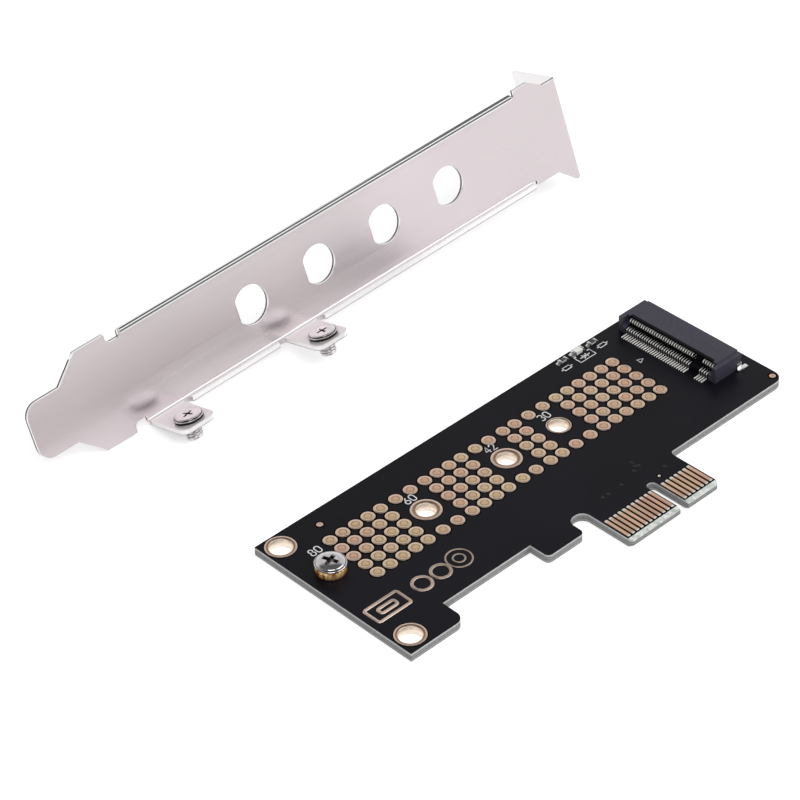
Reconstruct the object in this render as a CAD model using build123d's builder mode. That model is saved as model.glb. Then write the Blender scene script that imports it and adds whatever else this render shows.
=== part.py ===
# Adapter card that carries a storage module, with its own slot bracket lying beside it.
#
# Frame: millimetres, +Z up. The card lies flat with its underside on Z = 0. The origin is on the line
# of the module's length holes, 20 mm short of the first of them, where the longest module ends. +X runs
# along the module towards its socket, and the gold fingers point to -Y.
#
# The bracket is unscrewed from the card. It rests behind it on three points: the lower corner of its
# shoulder, the tip of its first screw and the lower corner of its flange.

from build123d import *
import os

os.makedirs("parts", exist_ok=True)

# Board, measured from the origin
board_thickness = 1.6
board_left = 5.0
board_right = 85.2
board_back = 12.7
board_front = 17.8
board_corner_radius = 2.0
relief_radius = 0.9  # inside corners left by the router
ear_width = 11.3  # corner piece that carries the second bracket hole
ear_drop = 4.9
ear_corner_radius = 1.7
hook_left = 25.3  # latch hook beside the tongue
hook_right = 33.4
hook_drop = 4.0
hook_corner_radius = 0.9

# Tongue and gold fingers
first_finger_x = 37.65
finger_pitch = 1.0
finger_width = 0.65
finger_length = 5.25
fingers_before_key = 11
fingers_after_key = 7
key_pitches = 3  # pitches from the last finger before the key to the first after it
key_width = 1.9
key_length = 7.85
tongue_margin = 0.3  # board left beside the outer fingers
tongue_drop = 10.7
tongue_corner_radius = 0.7
bevel_length = 0.8
bevel_depth = 0.38
finger_setback = 0.3  # from the bevel to the finger
copper = 0.05  # height of a plated land

# Module length holes and bracket holes
length_hole_spacings = (20.0, 18.0, 12.0)
length_hole_radius = 1.75
length_land_radii = (2.6, 2.6, 2.1)
bracket_hole_spacing = 29.3
bracket_hole_edge = 2.9  # from the bracket edge of the board
bracket_hole_back = 2.9  # from the back edge of the board
bracket_hole_radius = 2.0
bracket_land_radius = 2.6
land_sides = 24

# Cooling pads: full blocks of columns, and lone pads in the outer rows between the blocks
pad_pitch = 2.708
pad_radius = 1.22
pad_rows = 5
pad_sides = 8
pad_blocks = ((4.35, 5), (24.91, 4), (42.57, 2), (54.92, 6))
lone_pad_columns = (18.47, 21.68, 36.23, 39.26, 48.48, 51.80)
sight_dots = ((84.0, -16.3, 0.6), (5.8, 9.4, 0.7))  # x, y and radius
sight_dot_sides = 12

# Stand-off and clamp screw
standoff_x = -0.45
standoff_radius = 2.55
standoff_height = 1.5
spigot_clearance = 0.05
spigot_recess = 0.1  # from the underside
standoff_bore_radius = 1.05
clamp_screw_radius = 1.0
clamp_screw_length = 2.6
clamp_head_radius = 2.6
clamp_head_height = 0.8

# Module socket
socket_back = 82.25
socket_depth = 6.45
socket_length = 21.9
socket_height = 3.2
roof_depth = 5.25
roof_thickness = 0.6
cheek_thickness = 0.9
cheek_step = 0.25
mouth_floor = 1.5
mouth_depth = 4.6
lip_height = 1.2
lip_slope = 0.9
rib_width = 1.0
rib_setback = 1.1
rib_y = -6.125
overshoot = 1.0  # of the cut for the mouth, past the housing

# Socket contacts
contact_pitch = 0.5
contact_width = 0.2
contact_strip = 0.15
channel_width = 0.3
channel_clearance = 0.1
channel_run_on = 1.0  # of an upper channel, into the mouth
first_upper_y = 9.25
first_lower_y = 9.0
contacts_before_rib = 29
upper_contacts_after_rib = 5
lower_contacts_after_rib = 4
rib_pitches = 5  # pitches between the contacts on either side of the rib
lower_tail = 1.35
upper_tail = 1.05
lower_riser = 0.1  # from the front of the lip
lower_beam = 3.0
lower_beam_height = 1.0
lower_peak_height = 1.6
upper_riser = 0.45  # from the back of the socket
upper_beam_height = 2.3
upper_tip_height = 1.95
upper_tip_setback = 0.5  # from the front of the roof

# Solder lugs at the socket's ends
lug_length = 2.3
lug_reach = 0.85
lug_thickness = 0.25
lug_rise = 1.3
lug_setback = 1.0  # past the socket's back

# Chips beside the socket: length, width and height
chip_y = 11.5
lamp_x = 66.3
lamp_size = (2.0, 1.25, 0.75)
resistor_xs = (69.9, 62.8)
resistor_size = (1.6, 0.8, 0.45)
terminal_length = 0.35
terminal_skin = 0.06

# Slot bracket in its own plane: X along it from the foot, Y across it, Z to the card side
steel = 0.86
bracket_length = 120.02
bracket_width = 18.42
foot_width = 10.2
foot_length = 7.2
foot_radius = 2.6
shoulder_length = 4.6
lip_start = 20.5
lip_end_setback = 11.52  # from the bracket's end
lip_depth = 1.9
bend_radius = 0.4
foot_relief_width = 2.6
foot_relief_depth = 1.7
flange_relief_width = 1.5
flange_relief_depth = 1.0
dhole_first = 46.0
dhole_pitch = 15.0
dhole_count = 4
dhole_radius = 3.5
dhole_flat = 2.9  # from the centre
flange_depth = 11.43
flange_drop = 3.1
flange_width = 19.5
flange_taper = 3.3
flange_neck = 1.8  # straight stretch between the taper and the bend
flare_length = 3.5
bend_margin = 0.2  # flat metal before the flange's bend
flange_slot_radius = 2.21
flange_slot_depth = 5.1
flange_slot_centre = 6.35  # from the outer face
tab_width = 7.0
tab_reach = 11.0  # from the outer face
tab_radius = 1.6
tab_root_radius = 0.8
tab_hole_reach = 7.8  # from the outer face
tab_hole_clearance = 0.05
first_tab_centre = 24.0

# Bracket screws
bracket_screw_radius = 1.5
bracket_screw_length = 3.6
bracket_head_radius = 2.85
bracket_head_height = 1.0
screw_tip_chamfer = 0.3
crown_share = 0.45  # of the head's height
recess_width_share = 0.3  # of the head's radius
recess_span_share = 1.15
recess_depth_share = 0.6  # of the head's height

# Where the bracket lies: the lower corner of its shoulder, and its turn about Z
bracket_rest_x = -4.3
bracket_rest_y = 50.3
bracket_turn = -1.33

# Places worked out from the sizes above
top = board_thickness
tongue_tip = -board_front - tongue_drop
tongue_left = first_finger_x - finger_width / 2 - tongue_margin
last_before_key = first_finger_x + (fingers_before_key - 1) * finger_pitch
first_after_key = last_before_key + key_pitches * finger_pitch
key_x = (last_before_key + first_after_key) / 2
finger_xs = [first_finger_x + n * finger_pitch for n in range(fingers_before_key)]
finger_xs += [first_after_key + n * finger_pitch for n in range(fingers_after_key)]
tongue_right = finger_xs[-1] + finger_width / 2 + tongue_margin
finger_y = tongue_tip + bevel_length + finger_setback + finger_length / 2

length_hole_xs = [sum(length_hole_spacings[: n + 1]) for n in range(len(length_hole_spacings))]
bracket_hole_x = bracket_hole_edge - board_left
bracket_hole_ys = [board_back - bracket_hole_back, board_back - bracket_hole_back - bracket_hole_spacing]

socket_front = socket_back - socket_depth
roof_front = socket_back - roof_depth
roof_underside = socket_height - roof_thickness
bracket_middle = bracket_width / 2


def corner(sketch, x, y):
    """The corner of a sketch that lies nearest to x, y."""
    return sketch.vertices().sort_by_distance((x, y, 0))[0]


def contact_ys(first, contacts_after_rib):
    """Places of one row of contacts, with the gap for the rib."""
    before = [first - n * contact_pitch for n in range(contacts_before_rib)]
    after = [before[-1] - (rib_pitches + n) * contact_pitch for n in range(contacts_after_rib)]
    return before + after


upper_ys = contact_ys(first_upper_y, upper_contacts_after_rib)
lower_ys = contact_ys(first_lower_y, lower_contacts_after_rib)


def export(piece, name):
    """Label a finished piece and write it."""
    piece.label = name
    export_step(piece, f"parts/{name}.step")


# Board outline with its ear, hook and tongue, and the key that parts the fingers
with BuildPart() as board:
    with BuildSketch() as outline:
        with BuildLine():
            Polyline(
                (-board_left, board_back),
                (board_right, board_back),
                (board_right, -board_front),
                (tongue_right, -board_front),
                (tongue_right, tongue_tip),
                (tongue_left, tongue_tip),
                (tongue_left, -board_front),
                (hook_right, -board_front),
                (hook_right, -board_front - hook_drop),
                (hook_left, -board_front - hook_drop),
                (hook_left, -board_front),
                (ear_width - board_left, -board_front),
                (ear_width - board_left, -board_front - ear_drop),
                (-board_left, -board_front - ear_drop),
                close=True,
            )
        make_face()
        for x, y in ((board_right, board_back), (board_right, -board_front)):
            fillet(corner(outline, x, y), board_corner_radius)
        fillet(corner(outline, ear_width - board_left, -board_front - ear_drop), ear_corner_radius)
        for x in (hook_left, hook_right):
            fillet(corner(outline, x, -board_front - hook_drop), hook_corner_radius)
        for x in (tongue_left, tongue_right):
            fillet(corner(outline, x, tongue_tip), tongue_corner_radius)
        latch_gap_radius = min(0.46 * (tongue_left - hook_right), hook_drop / 2)
        for x in (hook_right, tongue_left):
            fillet(corner(outline, x, -board_front), latch_gap_radius)
        fillet(corner(outline, tongue_right, -board_front), relief_radius)
        with Locations((key_x, tongue_tip + key_length / 2 - key_width / 2)):
            SlotOverall(key_length + key_width, key_width, rotation=90, mode=Mode.SUBTRACT)
    extrude(amount=board_thickness)
    # Both faces of the tongue are bevelled to enter the slot
    with BuildSketch(Plane.YZ.offset(tongue_left - finger_pitch)):
        for face_z, into in ((top, -1), (0, 1)):
            with BuildLine():
                Polyline(
                    (tongue_tip, face_z),
                    (tongue_tip + bevel_length, face_z),
                    (tongue_tip, face_z + into * bevel_depth),
                    close=True,
                )
            make_face()
    extrude(amount=tongue_right - tongue_left + 2 * finger_pitch, mode=Mode.SUBTRACT)
    with BuildSketch():
        with Locations(*[(x, 0) for x in [standoff_x] + length_hole_xs]):
            Circle(length_hole_radius)
        with Locations(*[(bracket_hole_x, y) for y in bracket_hole_ys]):
            Circle(bracket_hole_radius)
    extrude(amount=board_thickness, mode=Mode.SUBTRACT)
    # The underside fingers are let in flush, so that the card lies flat
    with BuildSketch():
        with Locations(*[(x, finger_y) for x in finger_xs]):
            Rectangle(finger_width, finger_length)
    extrude(amount=copper, mode=Mode.SUBTRACT)
export(board.part, "board")

# One row of fingers on each face
for name, level in (("edge_contacts_top", top), ("edge_contacts_bottom", 0)):
    with BuildPart() as fingers:
        with BuildSketch(Plane.XY.offset(level)):
            with Locations(*[(x, finger_y) for x in finger_xs]):
                Rectangle(finger_width, finger_length)
        extrude(amount=copper)
    export(fingers.part, name)

# Bare copper discs that pass the module's heat into the board
with BuildPart() as thermal_pads:
    pad_half_rows = pad_rows // 2
    pad_places = [
        (start + column * pad_pitch, row * pad_pitch)
        for start, columns in pad_blocks
        for column in range(columns)
        for row in range(-pad_half_rows, pad_half_rows + 1)
    ]
    pad_places += [(x, side * pad_half_rows * pad_pitch) for x in lone_pad_columns for side in (-1, 1)]
    with BuildSketch(Plane.XY.offset(top)):
        with Locations(*pad_places):
            RegularPolygon(pad_radius, pad_sides)
    extrude(amount=copper)
export(thermal_pads.part, "thermal_pads")

with BuildPart() as sight_marks:
    for x, y, radius in sight_dots:
        with BuildSketch(Plane.XY.offset(top)):
            with Locations((x, y)):
                RegularPolygon(radius, sight_dot_sides)
        extrude(amount=copper)
export(sight_marks.part, "sight_marks")

# Copper land around each hole that a screw or stand-off goes in
lands = {
    f"length_hole_land_{n + 1}": (x, 0, length_hole_radius, land)
    for n, (x, land) in enumerate(zip(length_hole_xs, length_land_radii))
}
lands |= {
    f"bracket_hole_land_{n + 1}": (bracket_hole_x, y, bracket_hole_radius, bracket_land_radius)
    for n, y in enumerate(bracket_hole_ys)
}
for name, (x, y, hole, land) in lands.items():
    with BuildPart() as copper_land:
        with BuildSketch(Plane.XY.offset(top)):
            with Locations((x, y)):
                RegularPolygon(land, land_sides)
                Circle(hole, mode=Mode.SUBTRACT)
        extrude(amount=copper)
    export(copper_land.part, name)

# Brass stand-off: a collar on the board and a spigot pressed into the hole
standoff_base = Plane((standoff_x, 0, 0))
with BuildPart() as standoff:
    with BuildSketch(standoff_base.offset(spigot_recess)):
        Circle(length_hole_radius - spigot_clearance)
    extrude(amount=board_thickness - spigot_recess)
    with BuildSketch(standoff_base.offset(top)):
        Circle(standoff_radius)
    extrude(amount=standoff_height)
    with BuildSketch(standoff_base):
        Circle(standoff_bore_radius)
    extrude(amount=top + standoff_height, mode=Mode.SUBTRACT)
export(standoff.part, "standoff")


def pan_head_screw(seat, head_radius, head_height, shank_radius, shank_length):
    """Cross-recess screw whose head sits on a plane, with its shank below the plane."""
    with BuildPart() as screw:
        with BuildSketch(seat):
            Circle(head_radius)
        extrude(amount=head_height)
        crown = screw.faces().sort_by(Axis(seat.origin, seat.z_dir))[-1]
        chamfer(crown.edges(), crown_share * head_height)
        with BuildSketch(seat):
            Circle(shank_radius)
        extrude(amount=-shank_length)
        tip = screw.faces().sort_by(Axis(seat.origin, seat.z_dir))[0]
        chamfer(tip.edges(), screw_tip_chamfer)
        with BuildSketch(seat.offset(head_height)):
            for angle in (45, 135):
                Rectangle(recess_span_share * head_radius, recess_width_share * head_radius, rotation=angle)
        extrude(amount=-recess_depth_share * head_height, mode=Mode.SUBTRACT)
    return screw.part


clamp_seat = standoff_base.offset(top + standoff_height)
clamp_screw = pan_head_screw(
    clamp_seat, clamp_head_radius, clamp_head_height, clamp_screw_radius, clamp_screw_length
)
export(clamp_screw, "clamp_screw")

# The space that each socket contact runs in: up the front of the lip and along the mouth's floor
with BuildPart() as lower_channel:
    with BuildSketch(Plane.XZ):
        with BuildLine():
            Polyline(
                (socket_front - channel_clearance, top),
                (socket_front + lower_riser + channel_clearance, top),
                (socket_front + lower_riser + channel_clearance, top + lower_beam_height - channel_clearance),
                (socket_front + lower_beam + channel_clearance, top + lower_beam_height - channel_clearance),
                (socket_front + lower_beam + channel_clearance, top + mouth_floor + channel_clearance),
                (socket_front - channel_clearance, top + mouth_floor + channel_clearance),
                close=True,
            )
        make_face()
    extrude(amount=channel_width / 2, both=True)

# or up the back wall and through it into the mouth
with BuildPart() as upper_channel:
    with BuildSketch(Plane.XZ):
        with BuildLine():
            Polyline(
                (socket_back + channel_clearance, top),
                (socket_back - upper_riser - channel_clearance, top),
                (socket_back - upper_riser - channel_clearance, top + upper_beam_height - channel_clearance),
                (socket_front + mouth_depth - channel_run_on, top + upper_beam_height - channel_clearance),
                (socket_front + mouth_depth - channel_run_on, top + roof_underside),
                (socket_back + channel_clearance, top + roof_underside),
                close=True,
            )
        make_face()
    extrude(amount=channel_width / 2, both=True)

# Socket housing, moulded in one: roof, cheeks, stepped lip, rib and a channel for each contact
mouth_width = socket_length - 2 * cheek_thickness
with BuildPart() as socket_housing:
    with BuildSketch(Plane.XY.offset(top)):
        with Locations((socket_front, 0)):
            Rectangle(socket_depth, socket_length, align=(Align.MIN, Align.CENTER))
    extrude(amount=socket_height)
    # The mouth opens upwards in front of the roof, so that a module goes in at a slant
    with BuildSketch(Plane.XZ) as mouth:
        with BuildLine():
            Polyline(
                (socket_front - overshoot, top + lip_height),
                (socket_front, top + lip_height),
                (socket_front + lip_slope, top + mouth_floor),
                (socket_front + mouth_depth, top + mouth_floor),
                (socket_front + mouth_depth, top + roof_underside),
                (roof_front + roof_thickness, top + roof_underside),
                (roof_front, top + roof_underside + roof_thickness / 3),
                (roof_front, top + socket_height + overshoot),
                (socket_front - overshoot, top + socket_height + overshoot),
                close=True,
            )
        make_face()
    extrude(amount=mouth_width / 2, both=True, mode=Mode.SUBTRACT)
    with BuildSketch(Plane.XY.offset(top + socket_height)):
        with GridLocations(0, socket_length - cheek_thickness, 1, 2):
            with Locations((socket_front, 0)):
                Rectangle(socket_depth, cheek_thickness, align=(Align.MIN, Align.CENTER))
    extrude(amount=-cheek_step, mode=Mode.SUBTRACT)
    with BuildSketch(Plane.XY.offset(top + mouth_floor)):
        with Locations((socket_front + rib_setback, rib_y)):
            Rectangle(mouth_depth - rib_setback, rib_width, align=(Align.MIN, Align.CENTER))
    extrude(amount=roof_underside - mouth_floor)
    with Locations(*[(0, y, 0) for y in lower_ys]):
        add(lower_channel.part, mode=Mode.SUBTRACT)
    with Locations(*[(0, y, 0) for y in upper_ys]):
        add(upper_channel.part, mode=Mode.SUBTRACT)
export(socket_housing.part, "socket_housing")

# Contacts, each a bent strip with its tail on the board
with BuildPart() as lower_contact:
    with BuildSketch(Plane.XZ):
        with BuildLine():
            Polyline(
                (socket_front - lower_tail, top),
                (socket_front + lower_riser, top),
                (socket_front + lower_riser, top + lower_beam_height),
                (socket_front + 0.45 * lower_beam, top + lower_beam_height),
                (socket_front + lower_beam, top + lower_peak_height - contact_strip),
            )
            offset(amount=contact_strip, side=Side.LEFT, kind=Kind.INTERSECTION)
        make_face()
    extrude(amount=contact_width / 2, both=True)

with BuildPart() as upper_contact:
    with BuildSketch(Plane.XZ):
        with BuildLine():
            Polyline(
                (socket_back + upper_tail, top),
                (socket_back - upper_riser, top),
                (socket_back - upper_riser, top + upper_beam_height),
                (roof_front + 2 * upper_tip_setback, top + upper_beam_height),
                (roof_front + upper_tip_setback, top + upper_tip_height),
            )
            offset(amount=contact_strip, side=Side.RIGHT, kind=Kind.INTERSECTION)
        make_face()
    extrude(amount=contact_width / 2, both=True)

for name, blank, ys in (
    ("lower_contacts", lower_contact, lower_ys),
    ("upper_contacts", upper_contact, upper_ys),
):
    with BuildPart() as contact_row:
        with Locations(*[(0, y, 0) for y in ys]):
            add(blank.part)
    export(contact_row.part, name)

# Solder lugs, bent up against the socket's ends
with BuildPart() as solder_lugs:
    lug_x = socket_back + lug_setback - lug_length / 2
    for side in (-1, 1):
        with BuildSketch(Plane.XY.offset(top)):
            with Locations((lug_x, side * (socket_length + lug_reach) / 2)):
                Rectangle(lug_length, lug_reach)
        extrude(amount=lug_thickness)
        with BuildSketch(Plane.XY.offset(top)):
            with Locations((lug_x - lug_length / 4, side * (socket_length + lug_thickness) / 2)):
                Rectangle(lug_length / 2, lug_thickness)
        extrude(amount=lug_rise)
export(solder_lugs.part, "solder_lugs")


def chip(name, x, size):
    """A chip lying on the board: its body, and its two soldered end caps."""
    length, width, height = size
    level = Plane.XY.offset(top + terminal_skin)
    with BuildPart() as body:
        with BuildSketch(level):
            with Locations((x, chip_y)):
                Rectangle(length, width)
        extrude(amount=height)
    export(body.part, f"{name}_body")
    with BuildPart() as caps:
        with BuildSketch(Plane.XY.offset(top)):
            with Locations((x, chip_y)):
                with GridLocations(length + terminal_skin - terminal_length, 0, 2, 1):
                    Rectangle(terminal_length + terminal_skin, width)
        extrude(amount=height + 2 * terminal_skin)
        with BuildSketch(level):
            with Locations((x, chip_y)):
                Rectangle(length, width)
        extrude(amount=height, mode=Mode.SUBTRACT)
    export(caps.part, f"{name}_terminals")


chip("status_lamp", lamp_x, lamp_size)
for n, x in enumerate(resistor_xs):
    chip(f"resistor_{n + 1}", x, resistor_size)

# The plane that the bracket rests on, in the bracket's own frame. The screw's tip is round, so its
# lowest point is found by trying the plane through the last one.
shoulder_corner = Vector(foot_length + shoulder_length, 0, 0)
flange_corner = Vector(bracket_length - steel, -flange_drop, steel - flange_depth)
tip_centre = Vector(first_tab_centre, steel - bracket_screw_length, tab_hole_reach)
lowest_point = tip_centre
for _ in range(3):
    rest_normal = (lowest_point - shoulder_corner).cross(flange_corner - shoulder_corner).normalized()
    downhill = Vector(-rest_normal.X, 0, -rest_normal.Z).normalized()
    lowest_point = tip_centre + downhill * (bracket_screw_radius - screw_tip_chamfer)
rest_normal = (lowest_point - shoulder_corner).cross(flange_corner - shoulder_corner).normalized()
rest_along = Vector(1, 0, 0) - rest_normal * rest_normal.X
rest_plane = Plane(shoulder_corner, rest_along, rest_normal)
bracket_place = (
    Location((bracket_rest_x, bracket_rest_y, 0), (0, 0, bracket_turn)) * rest_plane.location.inverse()
)


def on_bracket(plane):
    """A plane given in the bracket's own frame, carried to where the bracket lies."""
    return Plane(bracket_place * plane.location)


outer_bend = bend_radius + steel
bend_start = bracket_length - outer_bend - bend_margin
lip_end = bracket_length - lip_end_setback
tab_centres = [first_tab_centre, first_tab_centre + bracket_hole_spacing]

# Slot bracket, folded from one sheet: plate, lips, tabs and flange
with BuildPart() as slot_bracket:
    # Foot, with its shoulders up to the lips
    with BuildSketch(on_bracket(Plane.XY)) as foot_end:
        with BuildLine():
            Polyline(
                (0, bracket_middle - foot_width / 2),
                (foot_length, bracket_middle - foot_width / 2),
                (foot_length + shoulder_length, 0),
                (lip_start, 0),
                (lip_start, bracket_width),
                (foot_length + shoulder_length, bracket_width),
                (foot_length, bracket_middle + foot_width / 2),
                (0, bracket_middle + foot_width / 2),
                close=True,
            )
        make_face()
        for side in (-1, 1):
            fillet(corner(foot_end, 0, bracket_middle + side * foot_width / 2), foot_radius)
        with Locations((lip_start, 0), (lip_start, bracket_width)):
            Rectangle(2 * foot_relief_width, 2 * foot_relief_depth, mode=Mode.SUBTRACT)
        for side in (-1, 1):
            relief_v = bracket_middle + side * (bracket_width / 2 - foot_relief_depth)
            fillet(corner(foot_end, lip_start - foot_relief_width, relief_v), relief_radius)
    extrude(amount=steel)
    # Middle stretch, a shallow channel between two lips
    with BuildSketch(on_bracket(Plane.YZ.offset(lip_start))) as channel:
        Rectangle(bracket_width, lip_depth, align=Align.MIN)
        with Locations((steel, steel)):
            Rectangle(bracket_width - 2 * steel, lip_depth, align=Align.MIN, mode=Mode.SUBTRACT)
        for edge_v, inner_v in ((0, steel), (bracket_width, bracket_width - steel)):
            fillet(corner(channel, edge_v, 0), outer_bend)
            fillet(corner(channel, inner_v, steel), bend_radius)
    extrude(amount=lip_end - lip_start)
    # Flange end, drawn in to the flange's width
    with BuildSketch(on_bracket(Plane.XY)) as flange_end:
        with BuildLine():
            Polyline(
                (lip_end, flange_relief_depth),
                (lip_end + flange_relief_width, flange_relief_depth),
                (lip_end + flange_relief_width, 0),
                (bend_start - flare_length, 0),
                (bend_start, -flange_drop),
                (bend_start, flange_width - flange_drop),
                (bend_start - flange_neck, flange_width - flange_drop),
                (bend_start - flange_neck - flange_taper, bracket_width),
                (lip_end + flange_relief_width, bracket_width),
                (lip_end + flange_relief_width, bracket_width - flange_relief_depth),
                (lip_end, bracket_width - flange_relief_depth),
                close=True,
            )
        make_face()
    extrude(amount=steel)
    with BuildSketch(on_bracket(Plane.XZ.offset(flange_drop))) as fold:
        with BuildLine():
            Polyline(
                (bend_start, 0),
                (bend_start, steel),
                (bracket_length, steel),
                (bracket_length, steel - flange_depth),
                (bracket_length - steel, steel - flange_depth),
                (bracket_length - steel, 0),
                close=True,
            )
        make_face()
        fillet(corner(fold, bracket_length, steel), outer_bend)
        fillet(corner(fold, bracket_length - steel, 0), bend_radius)
    extrude(amount=-flange_width)
    # Open slot that the fixing screw of the case goes through
    with BuildSketch(on_bracket(Plane.YZ.offset(bracket_length - steel))):
        with Locations((flange_slot_depth - flange_drop, -flange_slot_centre)):
            SlotOverall(
                2 * flange_slot_depth,
                2 * flange_slot_radius,
                align=(Align.MAX, Align.CENTER),
            )
    extrude(amount=steel, mode=Mode.SUBTRACT)
    # Tabs that the screws hold to the board
    with BuildSketch(on_bracket(Plane.XZ)) as tabs:
        for u in tab_centres:
            with Locations((u, steel)):
                Rectangle(tab_width, tab_reach - steel, align=(Align.CENTER, Align.MIN))
            for side in (-1, 1):
                fillet(corner(tabs, u + side * tab_width / 2, tab_reach), tab_radius)
            with Locations((u, tab_hole_reach)):
                Circle(bracket_screw_radius + tab_hole_clearance, mode=Mode.SUBTRACT)
    extrude(amount=-steel)
    with BuildSketch(on_bracket(Plane.XZ)):
        with Locations(*[(u, lip_depth) for u in tab_centres]):
            with GridLocations(tab_width + 2 * tab_root_radius, 0, 2, 1):
                Circle(tab_root_radius)
    extrude(amount=-steel, mode=Mode.SUBTRACT)
    # D-shaped openings for cables
    with BuildSketch(on_bracket(Plane.XY)):
        for n in range(dhole_count):
            with Locations((dhole_first + n * dhole_pitch, bracket_middle)):
                Circle(dhole_radius)
                with Locations((-dhole_flat, 0)):
                    Rectangle(
                        dhole_radius,
                        2 * dhole_radius,
                        align=(Align.MAX, Align.CENTER),
                        mode=Mode.SUBTRACT,
                    )
    extrude(amount=steel, mode=Mode.SUBTRACT)
export(slot_bracket.part, "slot_bracket")

for n, u in enumerate(tab_centres):
    seat = on_bracket(Plane((u, steel, tab_hole_reach), (1, 0, 0), (0, 1, 0)))
    bracket_screw = pan_head_screw(
        seat, bracket_head_radius, bracket_head_height, bracket_screw_radius, bracket_screw_length
    )
    export(bracket_screw, f"bracket_screw_{n + 1}")
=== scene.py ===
import math

import bmesh
import bpy
from bpy.props import FloatProperty, FloatVectorProperty, IntProperty, PointerProperty
from mathutils import Matrix, Vector


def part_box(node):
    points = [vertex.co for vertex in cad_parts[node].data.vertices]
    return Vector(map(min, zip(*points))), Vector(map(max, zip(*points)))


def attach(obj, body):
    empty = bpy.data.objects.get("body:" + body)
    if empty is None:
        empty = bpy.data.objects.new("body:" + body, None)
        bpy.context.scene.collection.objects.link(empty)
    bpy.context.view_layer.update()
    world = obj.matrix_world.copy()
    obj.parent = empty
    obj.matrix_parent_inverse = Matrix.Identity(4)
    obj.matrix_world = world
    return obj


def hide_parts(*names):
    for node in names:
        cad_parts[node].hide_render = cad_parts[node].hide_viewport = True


bl_info = {
    "name": "Storage Adapter Card",
    "version": (1, 0, 0),
    "blender": (4, 5, 0),
    "location": "View3D > Sidebar > Adapter Card",
    "description": "Dresses the adapter card and its loose slot bracket",
    "category": "Object",
}

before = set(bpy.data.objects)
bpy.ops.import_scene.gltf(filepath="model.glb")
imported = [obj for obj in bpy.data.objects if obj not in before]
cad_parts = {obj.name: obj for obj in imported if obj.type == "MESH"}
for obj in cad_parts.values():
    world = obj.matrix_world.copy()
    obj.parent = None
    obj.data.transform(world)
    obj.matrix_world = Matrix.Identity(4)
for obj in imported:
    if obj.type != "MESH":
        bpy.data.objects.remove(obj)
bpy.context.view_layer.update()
BODY = "root"
MM = 0.001

# turn of the camera about the card, in degrees
CAMERA_TURN = -42.026


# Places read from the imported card

def middle(node):
    """Middle of a node's box."""
    low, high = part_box(node)
    return (low + high) / 2


def node_points(node):
    """A node's vertices, in the row frame."""
    return [vert.co.copy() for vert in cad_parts[node].data.vertices]


def solids(node):
    """Middles of a node's separate solids, in a fixed order."""
    work = bmesh.new()
    work.from_mesh(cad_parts[node].data)
    bmesh.ops.remove_doubles(work, verts=work.verts, dist=1e-7)
    seen = set()
    found = []
    for first in work.verts:
        if first in seen:
            continue
        seen.add(first)
        waiting = [first]
        group = []
        while waiting:
            vert = waiting.pop()
            group.append(vert.co.copy())
            for edge in vert.link_edges:
                other = edge.other_vert(vert)
                if other not in seen:
                    seen.add(other)
                    waiting.append(other)
        low = Vector([min(co[k] for co in group) for k in range(3)])
        high = Vector([max(co[k] for co in group) for k in range(3)])
        found.append((low + high) / 2)
    work.free()
    return sorted(found, key=lambda co: (round(co.x, 5), round(co.y, 5)))


def bracket_axes():
    """The loose bracket's own axes: along it, across it, and out of its card side."""
    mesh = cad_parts["slot_bracket"].data
    areas = {}
    for face in mesh.polygons:
        key = tuple(round(value, 2) for value in face.normal)
        areas[key] = areas.get(key, Vector()) + face.normal * face.area
    outward = max((total for key, total in areas.items() if key[1] < -0.5), key=lambda v: v.length)
    outward.normalize()
    # along the longest crease that lies in the plate's own plane
    work = bmesh.new()
    work.from_mesh(mesh)
    bmesh.ops.remove_doubles(work, verts=work.verts, dist=1e-7)
    along = Vector((1, 0, 0))
    longest = 0.0
    for edge in work.edges:
        run = edge.verts[1].co - edge.verts[0].co
        creased = len(edge.link_faces) == 2 and edge.calc_face_angle() > 0.1
        if creased and run.length > longest and abs(run.normalized().dot(outward)) < 0.001:
            longest = run.length
            along = run.normalized() if run.x > 0 else -run.normalized()
    work.free()
    return along, outward.cross(along), outward


def bracket_front():
    """How far the bracket's plate stands out along its outward axis."""
    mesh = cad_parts["slot_bracket"].data
    level = [face for face in mesh.polygons if face.normal.dot(BRACKET_OUTWARD) > 0.999]
    plate = max(level, key=lambda face: face.area)
    return plate.center.dot(BRACKET_OUTWARD)


BOARD_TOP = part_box("board")[1].z
BRACKET_ALONG, BRACKET_ACROSS, BRACKET_OUTWARD = bracket_axes()
BRACKET_FRONT = bracket_front()
BRACKET_POINTS = node_points("slot_bracket")


# Mesh helpers

def add_piece(name, mesh, finish, slot, *nodes):
    """Put a finished mesh in the scene, riding on the card's body, in place of its CAD nodes."""
    piece = bpy.data.objects.new(name, mesh)
    bpy.context.scene.collection.objects.link(piece)
    if finish is not None:
        mesh.materials.clear()
        mesh.materials.append(finish)
    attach(piece, BODY)
    if nodes:
        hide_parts(*nodes)


def on_board(x, y):
    """A place on the board's top, given in millimetres."""
    return Matrix.Translation((x * MM, y * MM, BOARD_TOP))


def dress(node, finish):
    """Give a CAD node its finish."""
    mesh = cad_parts[node].data
    mesh.materials.clear()
    mesh.materials.append(finish)


def smoothed_mesh(work, name, crease):
    """Turn a bmesh into a mesh with smooth faces, and sharp edges where it bends by more than a crease."""
    for face in work.faces:
        face.smooth = True
    for edge in work.edges:
        edge.smooth = len(edge.link_faces) == 2 and edge.calc_face_angle(0.0) < crease
    mesh = bpy.data.meshes.new(name)
    work.to_mesh(mesh)
    work.free()
    return mesh


def mesh_from(work, name, sharp=35.0):
    """Turn a bmesh into a mesh whose faces look outwards, with creases over so many degrees."""
    bmesh.ops.recalc_face_normals(work, faces=work.faces)
    return smoothed_mesh(work, name, math.radians(sharp))


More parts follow.
